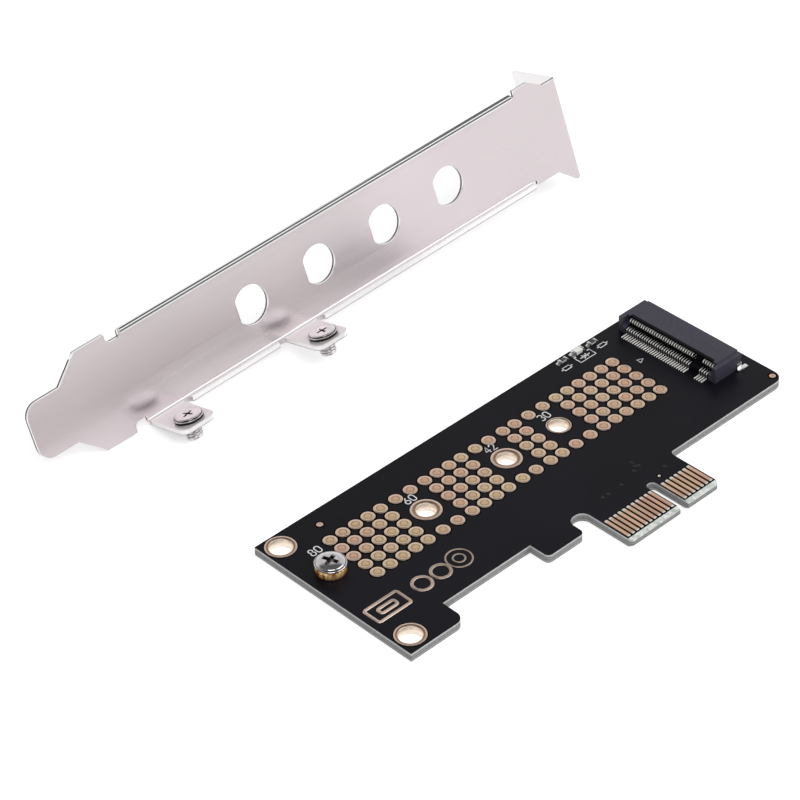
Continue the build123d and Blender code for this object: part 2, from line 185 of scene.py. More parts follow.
def turned(work, profile, segments, place=Matrix.Identity(4)):
    """Add a turned shape to a bmesh. The profile's points are (radius, height) in millimetres.
    A point of no radius closes the shape at a pole, and a last point like the first closes a ring."""
    ring_shape = profile[0] == profile[-1]
    points = profile[:-1] if ring_shape else profile
    rings = []
    for radius, height in points:
        if radius == 0:
            rings.append([work.verts.new(place @ Vector((0, 0, height * MM)))] * segments)
            continue
        ring = []
        for n in range(segments):
            turn = 2 * math.pi * n / segments
            spot = Vector((radius * math.cos(turn), radius * math.sin(turn), height)) * MM
            ring.append(work.verts.new(place @ spot))
        rings.append(ring)
    pairs = list(zip(rings, rings[1:]))
    if ring_shape:
        pairs.append((rings[-1], rings[0]))
    for lower, upper in pairs:
        for n in range(segments):
            m = (n + 1) % segments
            corners = []
            for vert in (lower[n], lower[m], upper[m], upper[n]):
                if vert not in corners:
                    corners.append(vert)
            if len(corners) > 2:
                work.faces.new(corners)


def flat_disc(work, radius, height, segments, place=Matrix.Identity(4)):
    """Add a plain disc to a bmesh, in millimetres."""
    turned(work, [(0, 0.0), (radius, 0.0), (radius, height), (0, height)], segments, place)


def block(work, low, high, place=Matrix.Identity(4)):
    """Add a plain box to a bmesh, from corner to corner in millimetres. Gives its vertices."""
    made = bmesh.ops.create_cube(work, size=1.0)["verts"]
    size = Vector(high) - Vector(low)
    for vert in made:
        spot = Vector(low) + Vector([(vert.co[k] + 0.5) * size[k] for k in range(3)])
        vert.co = place @ (spot * MM)
    return made


def rounded_block(work, low, high, radius, place=Matrix.Identity(4)):
    """Add a box with rounded edges to a bmesh."""
    part = bmesh.new()
    block(part, low, high)
    bmesh.ops.bevel(part, geom=part.edges[:], offset=radius * MM, segments=2, affect="EDGES", profile=0.5)
    join_into(work, part, place)


def noted(mesh, measure):
    """Keep a number on each vertex of a mesh, which a finish reads as its reach."""
    note = mesh.attributes.new("reach", "FLOAT", "POINT")
    for vert in mesh.vertices:
        note.data[vert.index].value = measure(vert.co)
    return mesh


def join_into(work, part, place=Matrix.Identity(4)):
    """Move the shapes of one bmesh into another."""
    bmesh.ops.transform(part, matrix=place, verts=part.verts)
    carrier = bpy.data.meshes.new("carrier")
    part.to_mesh(carrier)
    part.free()
    work.from_mesh(carrier)
    bpy.data.meshes.remove(carrier)


def loose_object(name, mesh):
    """An object that only feeds a modifier and is removed afterwards."""
    piece = bpy.data.objects.new(name, mesh)
    bpy.context.scene.collection.objects.link(piece)
    return piece


def discard(piece):
    """Remove an object that only fed a modifier, and its mesh."""
    spent = piece.data
    bpy.data.objects.remove(piece)
    if spent.users == 0:
        bpy.data.meshes.remove(spent)


def evaluated(piece, name):
    """The mesh of an object with its modifiers in, as plain data. The object goes."""
    bpy.context.view_layer.update()
    graph = bpy.context.evaluated_depsgraph_get()
    mesh = bpy.data.meshes.new_from_object(piece.evaluated_get(graph))
    mesh.name = name
    discard(piece)
    return mesh


def eased_copy(node, width, segments):
    """A copy of a CAD node with its sharp edges eased by a small bevel, in millimetres."""
    crease = math.radians(40)
    work = bmesh.new()
    work.from_mesh(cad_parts[node].data)
    bmesh.ops.remove_doubles(work, verts=work.verts, dist=2e-6)
    bmesh.ops.dissolve_limit(
        work, angle_limit=math.radians(0.5), verts=work.verts, edges=work.edges, delimit={"NORMAL"}
    )
    sharp = [edge for edge in work.edges if len(edge.link_faces) == 2 and edge.calc_face_angle(0.0) > crease]
    bmesh.ops.bevel(
        work, geom=sharp, offset=width * MM, segments=segments, affect="EDGES", profile=0.5,
        clamp_overlap=True,
    )
    holder = loose_object("eased", smoothed_mesh(work, node, crease))
    weighted = holder.modifiers.new("even", "WEIGHTED_NORMAL")
    weighted.keep_sharp = True
    return evaluated(holder, node + "_eased")


# Geometry Nodes

class Nodes:
    """A node tree, with a short call for a node and its inputs."""

    def __init__(self, tree):
        """Work on a node tree."""
        self.tree = tree

    def node(self, kind, inputs=(), **settings):
        """A node with settings and inputs. An input is a number, a colour or another node's output."""
        made = self.tree.nodes.new(kind)
        for key, value in settings.items():
            setattr(made, key, value)
        for label, value in dict(inputs).items():
            if isinstance(value, bpy.types.NodeSocket):
                self.tree.links.new(value, made.inputs[label])
            else:
                made.inputs[label].default_value = value
        return made


def new_tree(name, **sockets):
    """The nodes of a new Geometry Nodes tree with named inputs, and those inputs."""
    tree = bpy.data.node_groups.new(name, "GeometryNodeTree")
    tree.is_modifier = True
    tree.interface.new_socket("Geometry", in_out="INPUT", socket_type="NodeSocketGeometry")
    for label, kind in sockets.items():
        tree.interface.new_socket(label, in_out="INPUT", socket_type="NodeSocket" + kind)
    tree.interface.new_socket("Geometry", in_out="OUTPUT", socket_type="NodeSocketGeometry")
    made = Nodes(tree)
    return made, made.node("NodeGroupInput").outputs


def finished_tree(made, start, instances):
    """A tree ended in Realize Instances and Set Material."""
    real = made.node("GeometryNodeRealizeInstances", {0: instances})
    paint = made.node("GeometryNodeSetMaterial", {"Geometry": real.outputs[0], "Material": start["Finish"]})
    made.node("NodeGroupOutput", {0: paint.outputs[0]})
    return made.tree


def repeat_tree():
    """Puts one shape at each point, at one scale."""
    made, start = new_tree("repeat_shape", Shape="Object", Scale="Float", Finish="Material")
    shape = made.node("GeometryNodeObjectInfo", {"Object": start["Shape"]}, transform_space="ORIGINAL")
    put = made.node("GeometryNodeInstanceOnPoints", {
        "Points": start["Geometry"], "Instance": shape.outputs["Geometry"], "Scale": start["Scale"],
    })
    return finished_tree(made, start, put.outputs[0])


def bent_line(made, start, mesh, count):
    """A curve along a mesh's edges, its corners rounded in so many steps."""
    line = made.node("GeometryNodeMeshToCurve", {"Mesh": mesh}).outputs["Curve"]
    rounded = made.node(
        "GeometryNodeFilletCurve", {"Curve": line, "Count": count, "Radius": start["Bend"]}, mode="POLY"
    )
    return rounded.outputs[0]


def swept(made, curve, width, height):
    """A flat section swept along a curve and closed at its ends."""
    section = made.node("GeometryNodeCurvePrimitiveQuadrilateral", {"Width": width, "Height": height})
    sweep = made.node(
        "GeometryNodeCurveToMesh", {"Curve": curve, "Profile Curve": section.outputs[0], "Fill Caps": True}
    )
    return sweep.outputs[0]


def strip_tree():
    """Sweeps a flat strip with rounded bends along a path, then puts it at each point."""
    made, start = new_tree(
        "bent_strip", Path="Object", Width="Float", Thickness="Float", Bend="Float", Finish="Material"
    )
    path = made.node("GeometryNodeObjectInfo", {"Object": start["Path"]}, transform_space="ORIGINAL")
    curve = bent_line(made, start, path.outputs["Geometry"], 3)
    strip = swept(made, curve, start["Thickness"], start["Width"])
    put = made.node("GeometryNodeInstanceOnPoints", {"Points": start["Geometry"], "Instance": strip})
    return finished_tree(made, start, put.outputs[0])


def line_tree():
    """Sweeps a low flat bar along the lines that it is given."""
    made, start = new_tree("flat_line", Width="Float", Height="Float", Bend="Float", Finish="Material")
    curve = bent_line(made, start, start["Geometry"], 4)
    level = made.node("GeometryNodeSetCurveNormal", {"Curve": curve}, mode="Z_UP").outputs[0]
    return finished_tree(made, start, swept(made, level, start["Width"], start["Height"]))


def grown(name, points, tree, given, edges=()):
    """Run a tree on points, and on the edges between them, and give the plain mesh that it makes."""
    start = bpy.data.meshes.new(name + "_points")
    start.from_pydata(points, edges, [])
    holder = loose_object(name, start)
    modifier = holder.modifiers.new("tree", "NODES")
    modifier.node_group = tree
    for item in tree.interface.items_tree:
        if item.in_out == "INPUT" and item.name in given:
            modifier[item.identifier] = given[item.name]
    return evaluated(holder, name)


def path_object(name, points):
    """A line through points, in metres, that a strip follows."""
    mesh = bpy.data.meshes.new(name)
    mesh.from_pydata(points, [(n, n + 1) for n in range(len(points) - 1)], [])
    return loose_object(name, mesh)


# Finishes

class Shading(Nodes):
    """A tree of shader nodes, with short calls for those that the finishes and the room need."""

    def maths(self, operation, first, second=0.0):
        """A sum on one or two numbers, each typed in or another node's output."""
        made = self.node("ShaderNodeMath", {0: first, 1: second}, operation=operation)
        return made.outputs[0]

    def all_of(self, *tests):
        """One where every test is one."""
        total = tests[-1]
        for test in reversed(tests[:-1]):
            total = self.maths("MULTIPLY", test, total)
        return total

    def above(self, value, limit):
        """One where a number is over a limit."""
        return self.maths("GREATER_THAN", value, limit)

    def below(self, value, limit):
        """One where a number is under a limit."""
        return self.maths("LESS_THAN", value, limit)

    def unsigned(self, value):
        """A number without its sign."""
        return self.maths("ABSOLUTE", value)

    def along(self, vector, direction):
        """How far a vector reaches in a direction."""
        made = self.node("ShaderNodeVectorMath", {0: vector, 1: tuple(direction)}, operation="DOT_PRODUCT")
        return made.outputs["Value"]

    def steps(self, value, start, unit):
        """How many units a number lies past a start."""
        return self.maths("DIVIDE", self.maths("SUBTRACT", value, start), unit)

    def mix(self, kind, factor, *colours):
        """Two colours put together, each typed in or another node's output."""
        first, second = [tone if isinstance(tone, bpy.types.NodeSocket) else (*tone, 1) for tone in colours]
        inputs = {0: factor, 6: first, 7: second}
        return self.node("ShaderNodeMix", inputs, data_type="RGBA", blend_type=kind).outputs[2]

    def blend(self, factor, first, second):
        """A tone between two colours."""
        return self.mix("MIX", factor, first, second)

    def shade(self, colour, factor):
        """A colour made darker where a grey factor is low."""
        return self.mix("MULTIPLY", 1.0, colour, factor)

    def ramp(self, factor, stops):
        """A colour ramp. Its stops are (position, colour) or (position, grey)."""
        made = self.node("ShaderNodeValToRGB", {0: factor})
        band = made.color_ramp.elements
        while len(band) < len(stops):
            band.new(1.0)
        for element, (position, tone) in zip(band, stops):
            element.position = position
            element.color = (tone, tone, tone, 1) if isinstance(tone, float) else (*tone, 1)
        return made.outputs[0]

    def drift(self, noise, spread, first, second):
        """One tone that turns into another where noise passes its middle, over a spread to each side."""
        return self.blend(self.ramp(noise, [(0.5 - spread, 0.0), (0.5 + spread, 1.0)]), first, second)


class Finish(Shading):
    """A new material with its colour, gloss and metal, and other sockets of its shader by name."""

    def __init__(self, name, colour, roughness, metallic=0.0, **sockets):
        """Make the material and its place on the object."""
        self.material = bpy.data.materials.new(name)
        self.material.use_nodes = True
        self.material.diffuse_color = (*colour, 1)
        super().__init__(self.material.node_tree)
        self.shader = self.tree.nodes["Principled BSDF"]
        self.shader.inputs["Base Color"].default_value = (*colour, 1)
        self.shader.inputs["Roughness"].default_value = roughness
        self.shader.inputs["Metallic"].default_value = metallic
        for label, value in sockets.items():
            self.shader.inputs[label.replace("_", " ").title().replace("Ior", "IOR")].default_value = value
        self.place = self.node("ShaderNodeTexCoord").outputs["Object"]

    def to(self, label, output):
        """Feed a socket of the shader."""
        self.tree.links.new(output, self.shader.inputs[label])

    def facing(self):
        """The direction that a face looks in."""
        return self.node("ShaderNodeNewGeometry").outputs["True Normal"]

    def axes(self):
        """Places along X, Y and Z, in metres."""
        made = self.node("ShaderNodeSeparateXYZ", {0: self.place})
        return made.outputs[0], made.outputs[1], made.outputs[2]

    def facing_up(self):
        """How far a face looks up or down, from 0 to 1."""
        up = self.node("ShaderNodeSeparateXYZ", {0: self.facing()}).outputs[2]
        return self.unsigned(up)

    def stretched(self, scale):
        """Places drawn out along an axis whose scale is small."""
        made = self.node("ShaderNodeMapping", {"Vector": self.place, "Scale": scale})
        return made.outputs[0]

    def cloud(self, scale, detail=3.0, roughness=0.5, vector=None):
        """Soft noise from 0 to 1, with about so many blots to a metre."""
        made = self.node(
            "ShaderNodeTexNoise",
            {"Vector": vector or self.place, "Scale": scale, "Detail": detail, "Roughness": roughness},
        )
        return made.outputs["Fac"]

    def bump(self, height, strength, distance, under=None):
        """Raise the surface by a height field. The distance is in millimetres."""
        made = self.node(
            "ShaderNodeBump", {"Height": height, "Strength": strength, "Distance": distance * MM}
        )
        if under is not None:
            self.tree.links.new(under, made.inputs["Normal"])
        return made.outputs[0]

    def reach(self):
        """The number that noted() kept on the vertices."""
        return self.node("ShaderNodeAttribute", attribute_name="reach").outputs["Fac"]


# how much of a face's direction is up or down where it counts as level, and as sloped
LEVEL_FACE = 0.985
SLOPED_FACE = 0.08

# greys of the laminate, each with its share of the board's height
LAMINATE_LAYERS = [
    (0.0, 0.03), (0.02, 0.36), (0.31, 0.36), (0.34, 0.13), (0.39, 0.13), (0.42, 0.33),
    (0.59, 0.33), (0.63, 0.15), (0.68, 0.15), (0.72, 0.50), (0.94, 0.58), (0.965, 0.02),
]


def mask_tone(made, look):
    """Solder mask, a little lighter where it is thin."""
    return made.drift(made.cloud(38.0, 4.0), 0.15, look.mask_colour, look.mask_light_colour)


def laminate_layers(made, fibre):
    """Grey glass laminate, layered through the board's height, its layers a little ragged."""
    _, _, z = made.axes()
    height = made.maths("DIVIDE", z, BOARD_TOP)
    ragged = made.cloud(900.0, 2.0, vector=made.stretched((1, 1, 0.15)))
    shifted = made.maths("ADD", height, made.maths("MULTIPLY", made.maths("SUBTRACT", ragged, 0.5), 0.05))
    return made.shade(made.ramp(shifted, LAMINATE_LAYERS), made.ramp(fibre, [(0.3, 0.8), (0.7, 1.1)]))


def laminate_mottle(made, look):
    """Laminate where the tongue's bevel cuts across its layers."""
    return made.drift(made.cloud(1300.0, 3.0), 0.12, look.laminate_colour, look.laminate_dark_colour)


def glass_weave(made):
    """Crossed waves of the glass cloth."""
    cloth = {"Vector": made.place, "Scale": 330.0, "Distortion": 0.4}
    waves = [made.node("ShaderNodeTexWave", cloth, bands_direction=way).outputs["Fac"] for way in "XY"]
    return made.maths("MULTIPLY", *waves)


def board_finish(look):
    """Black solder mask on both faces over a grey glass laminate that shows at the routed edges."""
    made = Finish("solder_mask_board", look.mask_colour, 0.34, specular_ior_level=0.12)
    upright = made.facing_up()
    level = made.above(upright, LEVEL_FACE)
    fibre = made.cloud(2600.0, 2.0)
    sloped = made.above(upright, SLOPED_FACE)
    edge = made.blend(sloped, laminate_layers(made, fibre), laminate_mottle(made, look))
    made.to("Base Color", made.blend(level, edge, mask_tone(made, look)))
    gloss = made.ramp(made.cloud(210.0), [(0.3, 0.30), (0.7, 0.40)])
    made.to("Roughness", made.blend(level, (0.62, 0.62, 0.62), gloss))
    # the glass cloth prints faintly through the mask
    made.to("Normal", made.bump(glass_weave(made), 0.10, 0.01, made.bump(fibre, 0.12, 0.02)))
    return made.material


def mask_finish(look):
    """The same solder mask, over raised copper."""
    made = Finish("solder_mask_relief", look.mask_light_colour, 0.3, specular_ior_level=0.3)
    made.to("Base Color", mask_tone(made, look))
    return made.material


# blots to a metre in the tone of the thin gold
GOLD_CLOUD = 95.0


def copper_grain(made, colour, roughness):
    """Fine grain on plated copper, in its colour, its gloss and its relief."""
    grain = made.cloud(1900.0, 3.0)
    made.to("Base Color", made.shade(colour, made.ramp(grain, [(0.35, 0.88), (0.6, 1.0)])))
    made.to("Roughness", made.ramp(grain, [(0.3, roughness - 0.06), (0.7, roughness + 0.08)]))
    made.to("Normal", made.bump(grain, 0.12, 0.01))


def plain_gold_finish(name, first, second, roughness):
    """Thin gold over copper, whose tone drifts from place to place."""
    made = Finish(name, first, roughness, 1.0)
    copper_grain(made, made.drift(made.cloud(GOLD_CLOUD, 1.0), 0.12, first, second), roughness)
    return made.material


# the dark seam round a cooling disc's plug, as shares of the disc's radius, and a share beyond it, given
# where a painted highlight covers the seam
SEAM_START = 0.47
PLUG_EDGE = 0.50
SEAM_END = 0.60
PAST_SEAM = 0.62


def pad_finish(look):
    """A cooling disc: pale rim, dark seam, and a warm plug whose cast drifts from pink to straw."""
    made = Finish("pad_gold", look.pad_pink_colour, 0.34, 1.0)
    reach = made.reach()
    cast = made.ramp(made.cloud(GOLD_CLOUD, 1.0), [(0.42, 0.0), (0.58, 1.0)])
    plug = made.blend(cast, look.pad_pink_colour, look.pad_straw_colour)
    rim = made.blend(cast, look.pad_rim_colour, look.pad_rim_straw_colour)
    zones = made.blend(made.ramp(reach, [(PLUG_EDGE, 0.0), (SEAM_END, 1.0)]), plug, rim)
    seam = made.ramp(
        reach, [(0.46, 1.0), (0.51, 0.34), (0.55, 0.34), (SEAM_END, 1.0), (0.93, 1.0), (1.0, 0.85)]
    )
    copper_grain(made, made.shade(zones, seam), 0.34)
    return made.material


def land_finish(look):
    """A plated hole: bright barrel and lip, a brown ring round them and a pale outer ring."""
    made = Finish("land_gold", look.land_colour, 0.32, 1.0)
    barrel = tuple(look.barrel_colour)
    inner = tuple(look.land_inner_colour)
    outer = tuple(look.land_colour)
    stops = [(0.0, barrel), (0.29, barrel), (0.33, inner), (0.64, inner), (0.72, outer), (1.0, outer)]
    copper_grain(made, made.ramp(made.reach(), stops), 0.32)
    return made.material


def finger_finish(look):
    """Hard gold of the edge fingers, brushed along them and paler at both ends of each strip."""
    made = Finish("edge_finger_gold", look.finger_colour, 0.3, 1.0)
    low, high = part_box("edge_contacts_top")
    _, y, _ = made.axes()
    run = made.steps(y, low.y, high.y - low.y)
    ends = made.ramp(run, [(0.0, 1.0), (0.05, 0.6), (0.08, 0.0), (0.86, 0.0), (0.93, 0.8), (1.0, 1.0)])
    gold = made.drift(made.cloud(160.0, 2.0), 0.1, look.finger_colour, look.finger_tan_colour)
    brushed = made.cloud(2600.0, 2.0, vector=made.stretched((1, 0.03, 1)))
    lined = made.shade(gold, made.ramp(brushed, [(0.38, 0.72), (0.62, 1.12)]))
    made.to("Base Color", made.blend(ends, lined, look.finger_end_colour))
    made.to("Roughness", made.ramp(brushed, [(0.3, 0.26), (0.7, 0.42)]))
    made.to("Normal", made.bump(brushed, 0.1, 0.01))
    return made.material


def opening_finish(look):
    """Bare laminate in the narrow gap between copper and mask."""
    made = Finish("mask_opening", look.opening_colour, 0.8, specular_ior_level=0.0)
    made.to("Base Color", made.blend(made.cloud(800.0), look.opening_colour, (0.001, 0.0005, 0.0005)))
    return made.material


def ink_finish():
    """Legend ink, slightly thin in places."""
    made = Finish("legend_ink", (0.8, 0.8, 0.8), 0.55)
    made.to("Base Color", made.ramp(made.cloud(1500.0, 3.0), [(0.3, 0.62), (0.55, 0.9)]))
    return made.material


# the housing's room for the contacts, in millimetres: its roof's depth, the room beside them and the
# height of the roof's underside over the board
ROOF_DEPTH = 4.7
ROOM_BESIDE_CONTACTS = 0.25
ROOF_UNDERSIDE = 2.2


def socket_finish(look):
    """Dark moulded plastic with a fine spark-eroded grain, unlit inside its mouth."""
    made = Finish("socket_plastic", look.socket_colour, 0.5, specular_ior_level=0.5)
    grain = made.cloud(2400.0, 3.0)
    flow = made.cloud(120.0, 2.0, vector=made.stretched((1, 0.25, 1)))
    body = made.drift(flow, 0.15, look.socket_colour, look.socket_light_colour)
    last_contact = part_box("lower_contacts")[1].y
    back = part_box("socket_housing")[1].x
    x, y, z = made.axes()
    before_roof = made.below(x, back - ROOF_DEPTH * MM)
    between_ends = made.below(made.unsigned(y), last_contact + ROOM_BESIDE_CONTACTS * MM)
    under_roof = made.below(z, BOARD_TOP + ROOF_UNDERSIDE * MM)
    inside = made.all_of(between_ends, made.maths("MAXIMUM", before_roof, under_roof))
    made.to("Base Color", made.blend(inside, body, look.mouth_colour))
    lit = made.maths("SUBTRACT", 1.0, made.maths("MULTIPLY", inside, 0.85))
    made.to("Specular IOR Level", made.maths("MULTIPLY", lit, 0.5))
    made.to("Roughness", made.ramp(grain, [(0.3, 0.42), (0.7, 0.6)]))
    made.to("Normal", made.bump(grain, 0.18, 0.01))
    return made.material


# how far the contacts rise over the board, and over what height they fall into shadow, in millimetres
SPRING_RISE = 2.5
SOFT_EDGE = 0.12


def spring_finish(name, colour, dark_from, dark_to):
    """Plated spring strip with rolling lines along it, unlit between two heights over the board."""
    made = Finish(name, colour, 0.3, 0.05)
    lines = made.cloud(3000.0, 2.0, vector=made.stretched((0.1, 1, 0.1)))
    made.to("Roughness", made.ramp(lines, [(0.3, 0.24), (0.7, 0.38)]))
    plate = made.blend(made.cloud(600.0, 1.0), colour, tuple(0.9 * tone for tone in colour))
    _, _, z = made.axes()
    height = made.steps(z, BOARD_TOP, SPRING_RISE * MM)
    edges = ((dark_from - SOFT_EDGE, 1.0), (dark_from, 0.12), (dark_to, 0.12), (dark_to + SOFT_EDGE, 1.0))
    shadow = made.ramp(height, [(level / SPRING_RISE, tone) for level, tone in edges])
    made.to("Base Color", made.shade(plate, shadow))
    return made.material


def solder_finish():
    """Reflowed tin: bright, softly dimpled."""
    made = Finish("solder_tin", (0.82, 0.82, 0.82), 0.22, 1.0)
    dimple = made.cloud(900.0, 2.0)
    made.to("Roughness", made.ramp(dimple, [(0.3, 0.14), (0.7, 0.34)]))
    made.to("Normal", made.bump(dimple, 0.25, 0.02))
    made.to("Base Color", made.ramp(dimple, [(0.3, 0.74), (0.7, 0.88)]))
    return made.material


def lamp_finish():
    """Milky resin of the lamp, faintly yellow towards its die."""
    made = Finish("lamp_resin", (0.78, 0.78, 0.74), 0.2, subsurface_weight=0.3)
    made.shader.inputs["Subsurface Radius"].default_value = (0.0006, 0.0006, 0.0005)
    glow = made.cloud(500.0, 1.0)
    made.to("Base Color", made.blend(glow, (0.74, 0.74, 0.68), (0.84, 0.84, 0.82)))
    return made.material


def glaze_finish():
    """Dark glaze over a resistor, with its pale ceramic at the flanks."""
    made = Finish("resistor_glaze", (0.02, 0.02, 0.022), 0.28)
    up = made.above(made.facing_up(), 0.6)
    dust = made.cloud(1500.0, 2.0)
    dark = made.ramp(dust, [(0.4, 0.016), (0.7, 0.04)])
    made.to("Base Color", made.blend(up, (0.5, 0.49, 0.46), dark))
    return made.material


# rise of the stand-off's collar over the board, in millimetres
COLLAR_HEIGHT = 1.5


def brass_finish(look):
    """Turned brass with fine lathe rings, with painted shade low down near the board and painted dark
    reflections in upright blots.
    """
    made = Finish("turned_brass", look.brass_colour, 0.26, 0.6)
    rings = made.cloud(2200.0, 2.0, vector=made.stretched((0.08, 0.08, 1)))
    made.to("Roughness", made.ramp(rings, [(0.3, 0.16), (0.7, 0.36)]))
    made.to("Normal", made.bump(rings, 0.2, 0.01))
    _, _, z = made.axes()
    # painted shade, strongest where the collar meets the board
    low = made.ramp(made.steps(z, BOARD_TOP, COLLAR_HEIGHT * MM), [(0.0, 0.9), (0.45, 0.0)])
    # painted dark reflections in upright blots
    blots = made.cloud(700.0, 2.0, vector=made.stretched((1, 1, 0.3)))
    reflection_blots = made.ramp(blots, [(0.50, 0.0), (0.60, 0.95)])
    painted_dark = made.maths("MAXIMUM", low, reflection_blots)
    made.to("Base Color", made.blend(painted_dark, look.brass_colour, look.brass_shade_and_reflection_colour))
    return made.material


def screw_finish(name, colour, roughness, recess_shade_colour):
    """Bright nickel plate with small handling marks, and painted shade in the recess, the groove and on the
    neck.
    """
    made = Finish(name, colour, roughness, 1.0)
    marks = made.cloud(1100.0, 5.0, 0.65)
    made.to("Roughness", made.ramp(marks, [(0.35, roughness * 0.7), (0.7, roughness * 1.6)]))
    made.to("Normal", made.bump(marks, 0.08, 0.01))
    worn = tuple(0.8 * tone for tone in colour)
    plate = made.blend(made.ramp(marks, [(0.45, 0.0), (0.75, 1.0)]), colour, worn)
    # painted shade where the noted reach is high: in the recess, in the groove and on the neck
    deep = made.ramp(made.reach(), [(0.15, 0.0), (0.7, 1.0)])
    made.to("Base Color", made.blend(deep, plate, recess_shade_colour))
    return made.material


# the folded bracket, in millimetres: its steel, its lips from the plate's back to their tops, its width
STEEL = 0.86
LIP_RISE = 1.9
BRACKET_WIDTH = 18.42

# heights over the plate's front: clear of the plate, near the lips' cut ends, and the lips' tops
CLEAR_OF_PLATE = 0.02
NEAR_CUT_END = 0.9
LIP_TOP = LIP_RISE - STEEL

# depths of the lower band of the plate's sheared edge, under its front, where a dark reflection is painted
DARK_BAND_FROM = -0.42
DARK_BAND_TO = -0.9

# drops below the bracket's crown: the upper lip's own steel, and the rounded edge of the lower lip, where a
# grey reflection is painted
UPPER_LIP = STEEL + CLEAR_OF_PLATE
LOW_EDGE_FROM = BRACKET_WIDTH - 0.14
LOW_EDGE_TO = BRACKET_WIDTH + 0.18

# painted reflections: lines that the upper lip would mirror, each with its share of the way from its fold,
# over its top and down its cut end. The painted reflection on its top darkens towards the flange.
LIP_LINES = [
    (0.0, 0.34), (0.17, 0.5), (0.23, 0.95), (0.56, 0.95), (0.59, 0.01), (0.72, 0.01), (0.76, 0.9),
    (0.80, 0.9), (0.83, 0.08), (0.90, 0.08), (0.94, 0.8),
]
LIP_LINES_NEAR_FLANGE = [
    (0.0, 0.34), (0.17, 0.5), (0.23, 0.9), (0.36, 0.9), (0.40, 0.01), (0.72, 0.01), (0.76, 0.9),
    (0.80, 0.9), (0.83, 0.06), (0.90, 0.06), (0.94, 0.8),
]


def rolling_streaks(made):
    """Noise drawn out along the strip that the bracket was folded from."""
    turn = (0, math.asin(BRACKET_ALONG.z), -math.atan2(BRACKET_ALONG.y, BRACKET_ALONG.x))
    along = made.node("ShaderNodeMapping", {"Vector": made.place, "Rotation": turn}).outputs[0]
    rolled = made.node("ShaderNodeMapping", {"Vector": along, "Scale": (0.02, 1.0, 1.0)}).outputs[0]
    return made.cloud(1500.0, 3.0, vector=rolled)


def satin_plate(made, look, streak):
    """Nickel plate, faintly clouded, with soft streaks."""
    tone = made.drift(made.cloud(22.0, 3.0), 0.12, look.bracket_colour, look.bracket_dark_colour)
    return made.blend(made.ramp(streak, [(0.35, 0.0), (0.75, 0.15)]), tone, look.bracket_light_colour)


def lip_lines(made, drop, out):
    """The upper lip's painted reflections, by the drop below its crown and the height over the plate's front.
    """
    past_corner = made.maths("ADD", drop, made.maths("SUBTRACT", out, LIP_TOP))
    share = made.maths("DIVIDE", made.maths("ADD", past_corner, LIP_RISE), LIP_RISE + STEEL)
    ends = [co.dot(BRACKET_ALONG) for co in BRACKET_POINTS]
    along = made.steps(made.along(made.place, BRACKET_ALONG), min(ends), max(ends) - min(ends))
    near_flange = made.ramp(along, [(0.45, 0.0), (0.8, 1.0)])
    return made.blend(near_flange, made.ramp(share, LIP_LINES), made.ramp(share, LIP_LINES_NEAR_FLANGE))


def bracket_finish(look):
    """Satin nickel over rolled steel, with reflections painted on its sheared edges: a highlight above and a
    dark band below round the plate, pale highlights on the lips and tabs.
    """
    made = Finish("satin_nickel", look.bracket_colour, look.bracket_roughness, 1.0)
    streak = rolling_streaks(made)
    plate = satin_plate(made, look, streak)
    crown = max(
        co.dot(BRACKET_ACROSS) for co in BRACKET_POINTS
        if co.dot(BRACKET_OUTWARD) > BRACKET_FRONT + NEAR_CUT_END * MM
    )
    out = made.steps(made.along(made.place, BRACKET_OUTWARD), BRACKET_FRONT, MM)
    drop = made.maths("DIVIDE", made.maths("SUBTRACT", crown, made.along(made.place, BRACKET_ACROSS)), MM)
    facing = made.facing()
    faces_out = made.unsigned(made.along(facing, BRACKET_OUTWARD))
    faces_up = made.along(facing, BRACKET_ACROSS)
    standing = made.above(out, CLEAR_OF_PLATE)
    raised = made.above(out, NEAR_CUT_END)
    upward = made.above(faces_up, 0.2)
    # painted highlights: half strength on the tops of the tabs, full on the cut ends of the lips and the
    # inner face of the lower lip
    tab_top = made.all_of(upward, made.above(out, LIP_TOP))
    cut_end = made.all_of(raised, made.below(made.unsigned(faces_up), 0.25))
    inner_face = made.all_of(standing, upward, made.below(out, LIP_TOP))
    lit_tab_tops = made.blend(made.maths("MULTIPLY", tab_top, 0.5), plate, look.sheared_edge_highlight_colour)
    pale = made.blend(made.maths("MAXIMUM", cut_end, inner_face), lit_tab_tops, look.sheared_edge_highlight_colour)
    # round the plate's sheared edge, a painted highlight above and a painted dark reflection below
    rim = made.all_of(made.below(faces_out, 0.5), made.maths("SUBTRACT", 1.0, standing))
    dark_band = made.all_of(made.below(out, DARK_BAND_FROM), made.above(out, DARK_BAND_TO))
    sheared = made.blend(rim, pale, look.sheared_edge_highlight_colour)
    edged = made.blend(made.all_of(rim, dark_band), sheared, look.plate_edge_dark_reflection_colour)
    # painted reflections: grey on the rounded edge of the lower lip, then the lines of the upper one
    low_edge = made.all_of(raised, made.above(drop, LOW_EDGE_FROM))
    rounded = made.blend(made.all_of(low_edge, made.below(drop, LOW_EDGE_TO)), edged, look.lower_lip_edge_reflection_colour)
    upper_lip = made.all_of(made.below(drop, UPPER_LIP), made.maths("MAXIMUM", raised, upward))
    made.to("Base Color", made.blend(upper_lip, rounded, lip_lines(made, drop, out)))
    made.to("Metallic", made.maths("SUBTRACT", 0.78, made.maths("MULTIPLY", standing, 0.38)))
    soft = look.bracket_roughness
    made.to("Roughness", made.ramp(streak, [(0.25, soft - 0.03), (0.75, soft + 0.04)]))
    made.to("Normal", made.bump(streak, 0.015, 0.01))
    return made.material


# Sizes and colours that a user may change

def colour(name, description, value):
    """A colour that a user may change."""
    return FloatVectorProperty(
        name=name, description=description, subtype="COLOR", size=3, min=0.0, max=1.0, default=value
    )


def length(name, description, millimetres):
    """A length that a user may change, given in millimetres."""
    return FloatProperty(
        name=name, description=description, unit="LENGTH", min=0.0, precision=5, default=millimetres * MM
    )


